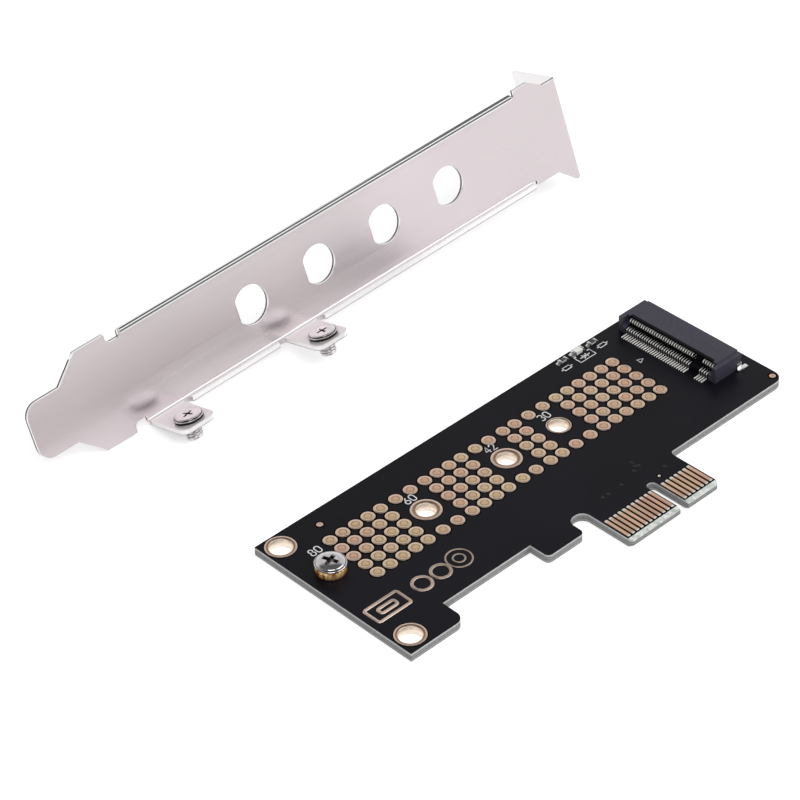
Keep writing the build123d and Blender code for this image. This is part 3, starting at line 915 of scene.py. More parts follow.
class CardLook(bpy.types.PropertyGroup):
    """Colours and gloss of the card and its bracket"""

    mask_colour: colour("Mask", "Solder mask", (0.0032, 0.0030, 0.0058))
    mask_light_colour: colour("Mask, light", "Solder mask where it is thinner", (0.0052, 0.0048, 0.0086))
    laminate_colour: colour("Laminate", "Laminate in the tongue's bevel", (0.68, 0.71, 0.68))
    laminate_dark_colour: colour("Laminate, dark", "Fibres in the tongue's bevel", (0.41, 0.44, 0.41))
    opening_colour: colour("Mask opening", "Bare gap around copper", (0.003, 0.0012, 0.001))
    pad_pink_colour: colour("Pad, pink", "Pink cast of the plated pads", (0.86, 0.54, 0.36))
    pad_straw_colour: colour("Pad, straw", "Straw cast of the plated pads", (0.86, 0.62, 0.36))
    pad_rim_colour: colour("Pad rim", "Plating at the rim of each pad", (0.87, 0.63, 0.50))
    pad_rim_straw_colour: colour("Pad rim, straw", "Rim of the straw pads", (0.87, 0.68, 0.51))
    land_colour: colour("Hole land", "Outer ring around the holes", (0.84, 0.66, 0.56))
    land_inner_colour: colour("Hole land, inner", "Inner ring around the holes", (0.40, 0.25, 0.16))
    shape_colour: colour("Bare shape", "Bare copper shapes near the corner", (0.50, 0.40, 0.32))
    barrel_colour: colour("Barrel", "Plating in the holes", (0.96, 0.86, 0.76))
    finger_colour: colour("Finger", "Gold of the edge fingers", (0.82, 0.51, 0.38))
    finger_tan_colour: colour("Finger, tan", "Tan cast of the edge fingers", (0.84, 0.58, 0.40))
    finger_end_colour: colour("Finger end", "Ends of the edge fingers", (0.93, 0.88, 0.82))
    brass_colour: colour("Brass", "Stand-off", (1.0, 0.68, 0.30))
    # painted shade low on the stand-off and painted dark reflections on it
    brass_shade_and_reflection_colour: colour("Tarnish", "Brown cast low on the stand-off", (0.30, 0.08, 0.015))
    nickel_colour: colour("Screw nickel", "Plate on the screws", (0.72, 0.70, 0.71))
    # painted shade at the bottom of the screws' recesses, in their grooves and under their heads
    recess_shade_colour: colour("Recess", "Bottom of the screws' recesses", (0.035, 0.03, 0.03))
    clamp_recess_shade_colour: colour("Deep recess", "Bottom of the clamp screw's recess", (0.16, 0.14, 0.15))
    socket_colour: colour("Socket", "Moulded housing", (0.032, 0.030, 0.050))
    socket_light_colour: colour("Socket, light", "Housing along its flow lines", (0.040, 0.038, 0.060))
    mouth_colour: colour("Mouth", "Unlit plastic inside the mouth", (0.004, 0.004, 0.006))
    contact_colour: colour("Contact", "Socket contacts", (1.0, 0.99, 0.95))
    bracket_colour: colour("Bracket", "Satin nickel", (0.66, 0.588, 0.610))
    bracket_dark_colour: colour("Bracket, dark", "Clouded nickel", (0.61, 0.552, 0.568))
    bracket_light_colour: colour("Bracket, light", "Streaks in the nickel", (0.70, 0.65, 0.66))
    # painted light on the bracket: a highlight on the cut ends and tabs, a dark reflection round the plate's
    # edge, a grey reflection on the lower lip's edge
    sheared_edge_highlight_colour: colour("Sheared edge", "Cut ends of the lips and tabs", (0.93, 0.91, 0.91))
    plate_edge_dark_reflection_colour: colour("Plate edge", "Torn half of the edge round the plate", (0.10, 0.09, 0.09))
    lower_lip_edge_reflection_colour: colour("Low edge", "Rounded edge of the lower lip", (0.42, 0.41, 0.41))
    bracket_roughness: FloatProperty(
        name="Bracket roughness", description="Softness of the bracket's reflections",
        subtype="FACTOR", min=0.05, max=1.0, default=0.24,
    )


class CardSizes(bpy.types.PropertyGroup):
    """Sizes of the fine work on the card and its bracket"""

    disc_sides: IntProperty(
        name="Disc sides", description="Sides of each cooling disc", min=8, max=64, default=26
    )
    disc_radius: length("Disc radius", "Radius of each cooling disc", 1.19)
    disc_height: length("Disc height", "Height of the plated copper", 0.05)
    disc_plug: length("Disc plug", "Radius of the filled hole in each disc", 0.62)
    gap: length("Mask gap", "Bare gap between copper and mask", 0.22)
    gap_height: length("Gap height", "Height of the bare gap's film", 0.012)
    finger_rim: length("Finger rim", "Bevel around each edge finger", 0.02)
    ink_height: length("Number height", "Height of the printed numbers", 1.55)
    ink_stroke: length("Ink stroke", "Width of the printed lines", 0.19)
    shape_stroke: length("Shape stroke", "Width of the bare copper lines", 0.56)
    ink_thickness: length("Ink thickness", "Thickness of the printed lines", 0.02)
    via_radius: length("Via radius", "Radius of the masked vias", 0.34)
    via_height: length("Via height", "Rise of the masked vias", 0.04)
    contact_width: length("Contact width", "Width of a socket contact", 0.21)
    contact_strip: length("Contact strip", "Thickness of a socket contact", 0.14)
    contact_bend: length("Contact bend", "Bend radius of a socket contact", 0.16)
    socket_ease: length("Socket edge", "Rounding of the housing's edges", 0.045)
    bracket_ease: length("Bracket edge", "Rounding of the bracket's sheared edges", 0.10)
    thread_pitch: length("Thread pitch", "Pitch of the bracket screws", 0.5)
    thread_depth: length("Thread depth", "Depth of the bracket screws' thread", 0.22)


def settings(context):
    """The scene's colours and sizes."""
    return context.scene.card_look, context.scene.card_sizes


# Shapes

def drawn(name, lines, height, given):
    """Flat bars along lines of (x, y) points in millimetres, on top of the board. A line whose last
    point is its first is closed."""
    points = []
    edges = []
    for line in lines:
        closed = line[0] == line[-1]
        first = len(points)
        kept = line[:-1] if closed else line
        points += [(x * MM, y * MM, BOARD_TOP + height / 2) for x, y in kept]
        edges += [(first + n, first + n + 1) for n in range(len(kept) - 1)]
        if closed:
            edges.append((first + len(kept) - 1, first))
    return grown(name, points, line_tree(), given, edges)


def arc(x, y, radius, start, end, steps):
    """Points of an arc. The angles are in degrees."""
    found = []
    for n in range(steps + 1):
        turn = math.radians(start + (end - start) * n / steps)
        found.append((x + radius * math.cos(turn), y + radius * math.sin(turn)))
    return found


def circle(x, y, radius, steps=24):
    """Points of a closed circle."""
    found = arc(x, y, radius, 0, 360, steps)
    return found[:-1] + [found[0]]


def oblong(left, near, right, far):
    """Points of a closed frame."""
    return [(left, near), (right, near), (right, far), (left, far), (left, near)]


# a printed digit's width and the step to the next one, as shares of its height
DIGIT_WIDTH = 0.58
DIGIT_ADVANCE = 0.80


def digit_strokes(digit):
    """Strokes of a printed digit, one high and about 0.6 wide, from its lower left corner."""
    if digit == "0":
        return [arc(0.28, 0.72, 0.28, 180, 0, 8) + arc(0.28, 0.28, 0.28, 0, -180, 8) + [(0.0, 0.72)]]
    if digit == "2":
        return [arc(0.28, 0.72, 0.28, 170, -35, 8) + [(0.0, 0.0), (0.58, 0.0)]]
    if digit == "3":
        return [arc(0.28, 0.74, 0.26, 150, -80, 8) + arc(0.28, 0.25, 0.27, 85, -150, 8)]
    if digit == "4":
        return [[(0.44, 0.0), (0.44, 1.0), (0.0, 0.32), (0.60, 0.32)]]
    if digit == "6":
        return [[(0.46, 0.98), (0.10, 0.52)], circle(0.28, 0.28, 0.28, 16)]
    if digit == "8":
        return [circle(0.28, 0.75, 0.24, 14), circle(0.28, 0.27, 0.28, 14)]
    raise ValueError(f"no strokes for {digit}")


def number_strokes(text, x, y, size):
    """Strokes of a number that is centred on a place, in millimetres."""
    lines = []
    width = DIGIT_ADVANCE * (len(text) - 1) + DIGIT_WIDTH
    for n, digit in enumerate(text):
        left = n * DIGIT_ADVANCE - width / 2
        for line in digit_strokes(digit):
            lines.append([(x + (px + left) * size, y + (py - 0.5) * size) for px, py in line])
    return lines


def resistor_strokes(x, y):
    """A plain box between two leads, centred on a place, in millimetres."""
    half, tall, lead = 0.75, 0.4, 1.25
    left, right = x - half, x + half
    return [oblong(left, y - tall, right, y + tall), [(x - lead, y), (left, y)], [(right, y), (x + lead, y)]]


def lamp_strokes(x, y):
    """An arrow against a bar in an open frame, centred on a place, in millimetres."""
    back, tip, tall, lead = x - 0.45, x + 0.4, 0.5, 1.1
    arrow = [(back, y - tall), (back, y + tall), (tip, y), (back, y - tall)]
    bar = [(tip, y - tall), (tip, y + tall)]
    side, rise, opening = 1.8, 0.85, 1.3
    surround = [
        (x - opening, y + rise), (x - side, y + rise), (x - side, y - rise),
        (x + side, y - rise), (x + side, y + rise), (x + opening, y + rise),
    ]
    return [surround, arrow, bar, [(x - lead, y), (x + lead, y)]]


def cross_recess(work, place, reach, depth, half):
    """Add the tapered cross of a driver recess to a bmesh, standing up through a screw's crown."""
    narrower, thinner = 0.60, 0.75
    for quarter in (0, 90):
        turn = Matrix.Rotation(math.radians(quarter), 4, "Z")
        arm = bmesh.new()
        for vert in block(arm, (-reach, -half, -depth), (reach, half, 1.0)):
            if vert.co.z < 0:
                vert.co.x *= narrower
                vert.co.y *= thinner
        join_into(work, arm, place @ turn)


def carved(name, solid, cutter):
    """One bmesh with another cut away."""
    body = loose_object(name, mesh_from(solid, name))
    tool = loose_object(name + "_cutter", mesh_from(cutter, name + "_cutter"))
    cut = body.modifiers.new("cut", "BOOLEAN")
    cut.operation = "DIFFERENCE"
    cut.solver = "EXACT"
    cut.use_self = True
    cut.object = tool
    mesh = evaluated(body, name)
    discard(tool)
    return mesh


def resharpened(mesh):
    """Merge a cut mesh and mark its creases again."""
    work = bmesh.new()
    work.from_mesh(mesh)
    bmesh.ops.remove_doubles(work, verts=work.verts, dist=1e-7)
    fresh = mesh_from(work, mesh.name + "_done", 32.0)
    bpy.data.meshes.remove(mesh)
    return fresh


def thread(work, radius, depth, pitch, top, bottom, place):
    """Add a screw shank with a true helical thread to a bmesh, in millimetres, pointing down."""
    segments = 40
    steps_per_turn = 8
    rise = pitch / steps_per_turn
    count = int((top - bottom) / rise)
    rings = []
    for step in range(count + 1):
        height = top - step * rise
        ring = []
        for n in range(segments):
            phase = (height / pitch - n / segments) % 1.0
            groove = abs(2 * phase - 1)
            fade = min(1.0, step / steps_per_turn, (count - step) / steps_per_turn)
            far = radius - depth * (1 - fade) * 0.8 - depth * fade * groove
            turn = 2 * math.pi * n / segments
            ring.append(work.verts.new(
                place @ (Vector((far * math.cos(turn), far * math.sin(turn), height)) * MM)
            ))
        rings.append(ring)
    for upper, lower in zip(rings, rings[1:]):
        for n in range(segments):
            m = (n + 1) % segments
            work.faces.new((upper[n], lower[n], lower[m], upper[m]))
    work.faces.new(rings[0])
    work.faces.new(list(reversed(rings[-1])))


# Places on the board, in millimetres

LENGTH_NUMBERS = (("80", 0.98, 5.23), ("60", 19.96, 3.75), ("42", 37.91, 3.75), ("30", 50.03, 3.4))
PRINTED_RESISTORS = ((62.1, 9.8), (70.8, 10.0))
PRINTED_LAMP = (66.6, 9.95)
PRINTED_TRIANGLE = [(71.7, 1.9), (72.7, 2.4), (71.7, 2.9), (71.7, 1.9)]
VIAS = (
    (51.12, -15.27), (50.82, -16.20), (49.81, -16.99), (51.34, -16.53), (45.88, -17.90),
    (42.77, -18.04), (41.50, -18.01), (54.14, -19.68),
)
TEST_POINT = (51.72, -20.65)

# bare copper beside the ear: frames from corner to corner, circles with their radius, and two rings
BARE_FRAMES = ((-3.5, -14.2, 3.3, -10.6), (-1.8, -13.0, 1.6, -11.8))
BARE_CIRCLES = ((7.3, -12.3, 1.6), (11.3, -12.3, 1.6))
BARE_RINGS = (15.42, -12.1, 2.15, 1.0)

# middle of a contact's strip where it lies on the board
SEATED = 0.075

# where the contacts' strips run: along the card from the housing's front or back, and over the board
LOWER_CONTACT = ((-1.34, SEATED), (0.025, SEATED), (0.025, 1.075), (1.35, 1.075), (2.75, 1.50), (3.02, 1.38))
UPPER_CONTACT = (
    (1.04, SEATED), (-0.375, SEATED), (-0.375, 2.375), (-4.25, 2.375), (-5.18, 2.34), (-5.36, 1.86),
)


# Operators

class CardPiece:
    """What every operator here shares."""

    bl_options = {"REGISTER", "UNDO"}


class CARD_OT_board(CardPiece, bpy.types.Operator):
    """Finish the board: mask, laminate edge, and the vias under the mask"""

    bl_idname = "card.board"
    bl_label = "Board"

    def execute(self, context):
        look, sizes = settings(context)
        dress("board", board_finish(look))
        self.masked_vias(look, sizes)
        self.test_point(look, sizes)
        return {"FINISHED"}

    def masked_vias(self, look, sizes):
        """Low mounds with a dimple, under the mask."""
        radius = sizes.via_radius / MM
        height = sizes.via_height / MM
        mound = [
            (0, 0.0), (radius, 0.0), (radius * 0.85, height * 0.8), (radius * 0.55, height),
            (radius * 0.35, height * 0.8), (0, height * 0.3),
        ]
        work = bmesh.new()
        for x, y in VIAS:
            turned(work, mound, 20, on_board(x, y))
        add_piece("masked_vias", mesh_from(work, "masked_vias", 60.0), mask_finish(look), "solder_mask")

    def test_point(self, look, sizes):
        """One bare test point in its clearing."""
        place = on_board(*TEST_POINT)
        dot = bmesh.new()
        turned(dot, [(0, 0.0), (0.26, 0.0), (0.24, 0.05), (0.1, 0.05), (0, 0.02)], 24, place)
        gold = plain_gold_finish("test_point_gold", look.finger_end_colour, look.barrel_colour, 0.3)
        add_piece("test_point", mesh_from(dot, "test_point"), gold, "gold")
        clearing = bmesh.new()
        flat_disc(clearing, 0.46, sizes.gap_height / MM, 24, place)
        gap = opening_finish(look)
        add_piece("test_point_gap", mesh_from(clearing, "test_point_gap"), gap, "solder_mask")


# what a finish reads at the edge of a hole, where the outside of its land is one
REACH_AT_HOLE = 0.3


def disc_reach(co, radius):
    """Distance from a disc's middle, from 0 to 1. The seam is left out above and below the plug, as the
    camera sees them, where a painted highlight covers it."""
    reach = co.xy.length / radius
    turn = math.radians(CAMERA_TURN)
    aside = abs(math.cos(turn) * co.x + math.sin(turn) * co.y) / max(co.xy.length, 1e-9)
    return PAST_SEAM if SEAM_START < reach < SEAM_END and aside < 0.55 else reach


class CARD_OT_copper(CardPiece, bpy.types.Operator):
    """Lay the plated copper: cooling discs, sight marks, hole lands and edge fingers"""

    bl_idname = "card.copper"
    bl_label = "Copper"

    def execute(self, context):
        look, sizes = settings(context)
        self.gap = opening_finish(look)
        self.repeat = repeat_tree()
        # thickness of the copper and of the film that shows the bare gap round it
        self.height = sizes.disc_height / MM
        self.film = sizes.gap_height / MM
        self.cooling_discs(look, sizes)
        self.sight_marks(look)
        self.hole_lands(look)
        self.edge_fingers(look, sizes)
        return {"FINISHED"}

    def repeated(self, name, work, spots, finish, sharp=35.0):
        """One shape of a bmesh put at each spot, as a plain mesh."""
        shape = loose_object(name + "_shape", mesh_from(work, name + "_shape", sharp))
        made = grown(name, spots, self.repeat, {"Shape": shape, "Scale": 1.0, "Finish": finish})
        discard(shape)
        return made

    def cooling_discs(self, look, sizes):
        """A pale rim round a filled hole, with a seam between them, over a film of bare gap."""
        radius = sizes.disc_radius / MM
        plug = sizes.disc_plug / MM
        height = self.height
        work = bmesh.new()
        turned(
            work,
            [
                (0, 0.0), (radius, 0.0), (radius, height - 0.02), (radius - 0.025, height),
                (plug + 0.16, height), (plug + 0.07, height - 0.012), (plug, height - 0.03),
                (plug - 0.08, height - 0.012), (plug * 0.45, height - 0.002), (0, height - 0.006),
            ],
            sizes.disc_sides,
        )
        spots = solids("thermal_pads")
        for spot in spots:
            spot.z = BOARD_TOP
        shape = noted(mesh_from(work, "disc", 50.0), lambda co: disc_reach(co, sizes.disc_radius))
        disc = loose_object("disc", shape)
        pads = {"Shape": disc, "Scale": 1.0, "Finish": pad_finish(look)}
        discs = grown("cooling_discs", spots, self.repeat, pads)
        discard(disc)
        add_piece("cooling_discs", discs, None, "gold", "thermal_pads")
        work = bmesh.new()
        flat_disc(work, radius + sizes.gap / MM, self.film, sizes.disc_sides)
        add_piece("disc_gaps", self.repeated("disc_gaps", work, spots, self.gap), None, "solder_mask")

    def sight_marks(self, look):
        """Two round marks with a small hole, in wide clearings."""
        height = self.height
        radius, hole, clear_radius = 0.55, 0.1, 0.8
        mark = [
            (0, 0.0), (radius, 0.0), (radius, height - 0.015), (radius - 0.03, height),
            (hole + 0.06, height), (hole, height - 0.03), (0, height - 0.03),
        ]
        work = bmesh.new()
        clearing = bmesh.new()
        for spot in solids("sight_marks"):
            place = Matrix.Translation((spot.x, spot.y, BOARD_TOP))
            turned(work, mark, 32, place)
            flat_disc(clearing, clear_radius, self.film, 32, place)
        gold = plain_gold_finish("mark_gold", look.pad_pink_colour, look.pad_rim_colour, 0.34)
        add_piece("sight_mark_discs", mesh_from(work, "sight_mark_discs"), gold, "gold", "sight_marks")
        add_piece("sight_mark_gaps", mesh_from(clearing, "sight_mark_gaps"), self.gap, "solder_mask")

    def hole_lands(self, look):
        """Lands of the length holes and of the bracket's holes, with their plated sleeves."""
        names = [f"length_hole_land_{n}" for n in (1, 2, 3)] + [f"bracket_hole_land_{n}" for n in (1, 2)]
        # thickness of the sleeve, and how far across a land its step lies
        skin, step_share = 0.06, 0.45
        level = BOARD_TOP / MM
        top = level + self.height
        work = bmesh.new()
        clearing = bmesh.new()
        rings = []
        for name in names:
            spot = middle(name)
            low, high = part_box(name)
            outer = (high.y - low.y) / 2 / MM
            hole = min((Vector((co.x, co.y)) - spot.xy).length for co in node_points(name)) / MM
            place = Matrix.Translation((spot.x, spot.y, 0))
            rings.append((spot.xy, hole * MM, outer * MM))
            inner = hole - skin
            step = hole + step_share * (outer - hole)
            turned(
                work,
                [
                    (hole, 0.0), (hole, level), (outer, level), (outer, top - 0.015), (outer - 0.03, top),
                    (step + 0.05, top), (step, top - 0.012), (hole + 0.1, top - 0.012),
                    (hole + 0.03, top - 0.03), (inner, top - 0.12), (inner, 0.0), (hole, 0.0),
                ],
                64, place,
            )
            near, far = outer - 0.1, outer + 0.15
            turned(clearing, oblong(near, level, far, level + self.film), 64, place)

        def land_reach(co):
            """From a small share at a hole's edge to one at the outside of its land."""
            centre, hole, outer = min(rings, key=lambda ring: (co.xy - ring[0]).length)
            across = ((co.xy - centre).length - hole) / (outer - hole)
            return REACH_AT_HOLE + (1 - REACH_AT_HOLE) * across

        lands = noted(mesh_from(work, "hole_lands", 50.0), land_reach)
        add_piece("hole_lands", lands, land_finish(look), "gold", *names)
        add_piece("hole_land_gaps", mesh_from(clearing, "hole_land_gaps"), self.gap, "solder_mask")

    def edge_fingers(self, look, sizes):
        """Bevelled fingers, with bare laminate between them on each side of the key."""
        low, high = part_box("edge_contacts_top")
        spots = solids("edge_contacts_top")
        half_width = (high.x - max(co.x for co in spots)) / MM
        half_length = (high.y - low.y) / 2 / MM
        height = self.height
        work = bmesh.new()
        block(work, (-half_width, -half_length, 0), (half_width, half_length, height))
        corner = 0.16
        upright = [edge for edge in work.edges if abs(edge.verts[0].co.z - edge.verts[1].co.z) > 0.01 * MM]
        bmesh.ops.bevel(work, geom=upright, offset=corner * MM, segments=3, affect="EDGES", profile=0.5)
        crown = [edge for edge in work.edges if all(vert.co.z > 0.9 * height * MM for vert in edge.verts)]
        bmesh.ops.bevel(work, geom=crown, offset=sizes.finger_rim, segments=1, affect="EDGES")
        for spot in spots:
            spot.z = BOARD_TOP
        gold = finger_finish(look)
        fingers = self.repeated("edge_fingers", work, spots, gold, 20.0)
        add_piece("edge_fingers", fingers, None, "gold", "edge_contacts_top")
        dress("edge_contacts_bottom", gold)
        across = sorted(spot.x / MM for spot in spots)
        pitch = across[1] - across[0]
        groups = [[across[0]]]
        for x in across[1:]:
            if x - groups[-1][-1] > 1.5 * pitch:
                groups.append([])
            groups[-1].append(x)
        # bare laminate beside the outer fingers, before their ends and beyond them
        beside, before, beyond = 0.1, 0.05, 0.12
        level = BOARD_TOP / MM
        work = bmesh.new()
        for group in groups:
            near = (group[0] - half_width - beside, low.y / MM - before, level)
            far = (group[-1] + half_width + beside, high.y / MM + beyond, level + self.film)
            block(work, near, far)
        add_piece("finger_gaps", mesh_from(work, "finger_gaps"), self.gap, "solder_mask")


class CARD_OT_legend(CardPiece, bpy.types.Operator):
    """Print the length numbers, the outlines of the chips and a small triangle"""

    bl_idname = "card.legend"
    bl_label = "Legend"

    def execute(self, context):
        _, sizes = settings(context)
        first_resistor, second_resistor = PRINTED_RESISTORS
        lines = []
        for text, x, y in LENGTH_NUMBERS:
            lines += number_strokes(text, x, y, sizes.ink_height / MM)
        lines += resistor_strokes(*first_resistor)
        lines += lamp_strokes(*PRINTED_LAMP)
        lines += resistor_strokes(*second_resistor)
        lines.append(PRINTED_TRIANGLE)
        ink = {
            "Width": sizes.ink_stroke, "Height": sizes.ink_thickness, "Bend": 0.0, "Finish": ink_finish(),
        }
        add_piece("legend", drawn("legend", lines, sizes.ink_thickness, ink), None, "solder_mask")
        return {"FINISHED"}


class CARD_OT_copper_shapes(CardPiece, bpy.types.Operator):
    """Lay plain bare-copper shapes beside the ear"""

    bl_idname = "card.copper_shapes"
    bl_label = "Copper shapes"

    def execute(self, context):
        look, sizes = settings(context)
        gold = plain_gold_finish("shape_gold", look.land_colour, look.shape_colour, 0.36)
        height = sizes.disc_height * 0.5
        frames_and_circles = [oblong(*corners) for corners in BARE_FRAMES]
        frames_and_circles += [circle(x, y, radius) for x, y, radius in BARE_CIRCLES]
        x, y, outer, inner = BARE_RINGS
        rings = [circle(x, y, outer, 40), circle(x, y, inner, 24)]
        for name, lines, width in (
            ("copper_shapes", frames_and_circles, sizes.shape_stroke),
            ("copper_rings", rings, sizes.shape_stroke * 0.5),
        ):
            stroke = {"Width": width, "Height": height, "Bend": 0.4 * MM, "Finish": gold}
            add_piece(name, drawn(name, lines, height, stroke), None, "gold")
        return {"FINISHED"}


class CARD_OT_socket(CardPiece, bpy.types.Operator):
    """Mould the module socket and set its contacts and lugs"""

    bl_idname = "card.socket"
    bl_label = "Module socket"

    def execute(self, context):
        look, sizes = settings(context)
        housing = eased_copy("socket_housing", sizes.socket_ease / MM, 1)
        add_piece("moulded_socket", housing, socket_finish(look), "socket_plastic", "socket_housing")
        front, back = [corner.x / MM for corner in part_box("socket_housing")]
        tree = strip_tree()
        plate = spring_finish("lower_contact_plate", look.contact_colour, dark_from=0.30, dark_to=0.90)
        self.contact_row("lower_contacts", front, LOWER_CONTACT, tree, plate, sizes)
        plate = spring_finish("upper_contact_plate", look.contact_colour, dark_from=0.30, dark_to=1.95)
        self.contact_row("upper_contacts", back, UPPER_CONTACT, tree, plate, sizes)
        self.lugs()
        return {"FINISHED"}

    def contact_row(self, name, wall, path, tree, plate, sizes):
        """One formed strip at the place of each contact in a row."""
        level = BOARD_TOP / MM
        guide = path_object(name + "_path", [((wall + x) * MM, 0, (level + z) * MM) for x, z in path])
        spots = [(0, spot.y, 0) for spot in solids(name)]
        strip = {
            "Path": guide, "Width": sizes.contact_width, "Thickness": sizes.contact_strip,
            "Bend": sizes.contact_bend, "Finish": plate,
        }
        add_piece(name + "_row", grown(name + "_row", spots, tree, strip), None, "contact_gold", name)
        discard(guide)

    def lugs(self):
        """A lug at each end of the housing: a foot on the board and a cheek up the end wall."""
        low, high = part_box("solder_lugs")
        left, right, reach = low.x / MM, high.x / MM, high.y / MM
        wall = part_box("socket_housing")[1].y / MM
        level = BOARD_TOP / MM
        inset = 0.05
        near = (left + inset, wall, level + inset)
        foot = (right - inset, reach - inset, level + 0.28)
        cheek = (left + 1.15, wall + 0.25, level + 1.3)
        work = bmesh.new()
        for side in (-1, 1):
            for far in (foot, cheek):
                rounded_block(work, near, far, 0.06, Matrix.Diagonal((1, side, 1, 1)))
        add_piece("socket_lugs", mesh_from(work, "socket_lugs"), solder_finish(), "solder_tin", "solder_lugs")


class CARD_OT_chips(CardPiece, bpy.types.Operator):
    """Place the lamp and the two resistors with their solder"""

    bl_idname = "card.chips"
    bl_label = "Chips"

    def execute(self, context):
        glaze = glaze_finish()
        tin = solder_finish()
        for name, finish, slot in (
            ("status_lamp", lamp_finish(), "lamp_resin"),
            ("resistor_1", glaze, "resistor_black"),
            ("resistor_2", glaze, "resistor_black"),
        ):
            inset = Vector((0.2, 0, 0))
            low, high = [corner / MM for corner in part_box(name + "_body")]
            work = bmesh.new()
            rounded_block(work, low + inset, high - inset, 0.07)
            add_piece(name + "_chip", mesh_from(work, name + "_chip"), finish, slot, name + "_body")
            low, high = [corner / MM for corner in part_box(name + "_terminals")]
            ends = bmesh.new()
            for edge, inward in ((low.x, 1), (high.x, -1)):
                self.cap(ends, edge, inward, low, high)
                self.fillet(ends, edge, inward, low, high)
            add_piece(name + "_ends", mesh_from(ends, name + "_ends"), tin, "solder_tin", name + "_terminals")
        return {"FINISHED"}

    def cap(self, work, edge, inward, low, high):
        """A chip's metal cap, from its outer edge inwards."""
        width = 0.4
        inner = edge + width * inward
        near = (min(edge, inner), low.y, BOARD_TOP / MM)
        far = (max(edge, inner), high.y, high.z)
        rounded_block(work, near, far, 0.08)

    def fillet(self, work, edge, inward, low, high):
        """Solder that runs down from a cap on to its land."""
        run, rise, toe, inset, ease = 0.45, 0.36, 0.05, 0.05, 0.03
        level = BOARD_TOP / MM
        inner = edge + inset * inward
        outer = edge - run * inward
        near = (min(inner, outer), low.y + inset, level)
        far = (max(inner, outer), high.y - inset, level + rise)
        wedge = bmesh.new()
        for vert in block(wedge, near, far):
            if abs(vert.co.x / MM - edge) > run / 2 and vert.co.z / MM > level + rise / 2:
                vert.co.z = (level + toe) * MM
        bmesh.ops.bevel(wedge, geom=wedge.edges[:], offset=ease * MM, segments=2, affect="EDGES", profile=0.5)
        join_into(work, wedge)


def pan_screw(name, place, radius, height, recess, half, flat, gap, brim):
    """A low domed head on a round brim, with a groove between them and a cross recess. Its brim reaches
    from the gap to the brim's height over its seat, on a narrow neck. The cross has a reach and half a
    width, and the flat of the dome is a share of the head's radius."""
    neck = radius - 0.12
    dome = radius * 0.90
    groove = dome - 0.06
    groove_top = brim + 0.10
    profile = [
        (0, 0.0), (neck, 0.0), (neck, gap), (radius - 0.03, gap), (radius, gap + 0.03), (radius, brim - 0.05),
        (radius - 0.05, brim), (groove, brim), (groove, groove_top),
    ]
    rise = (height - groove_top) * 0.92
    top = radius * flat
    profile += [
        (top + (dome - top) * math.cos(turn), groove_top + rise * math.sin(turn))
        for turn in (math.radians(90 * n / 8) for n in range(9))
    ]
    profile += [(top * 0.5, height * 0.99), (0, height)]
    solid = bmesh.new()
    turned(solid, profile, 64)
    cutter = bmesh.new()
    cross_recess(cutter, Matrix.Translation((0, 0, height * MM)), recess, height * 0.78, half)
    head = resharpened(carved(name, solid, cutter))

    def shade_share(co):
        """Painted shade, from nought on the dome to one in the recess, in the groove and on the neck, whose
        share is a painted shadow under the brim.
        """
        far = co.xy.length / MM
        level = co.z / MM
        on_neck = level < gap + 0.001 and far < radius - 0.1
        in_groove = abs(far - groove) < 0.01 and level < groove_top + 0.01
        if on_neck or in_groove:
            return 1.0
        return min(1.0, (height - level) / (0.5 * height)) if far < 0.72 * dome and level > 0 else 0.0

    noted(head, shade_share)
    head.transform(place)
    return head


def knurled(work, low, high, teeth, depth):
    """Press upright grooves into the wall of a turned shape between two heights, in millimetres."""
    for vert in work.verts:
        if low < vert.co.z / MM < high:
            turn = math.atan2(vert.co.y, vert.co.x)
            pressed = depth * (0.5 + 0.5 * math.cos(teeth * turn)) * MM
            far = vert.co.xy.length
            vert.co.x *= (far - pressed) / far
            vert.co.y *= (far - pressed) / far


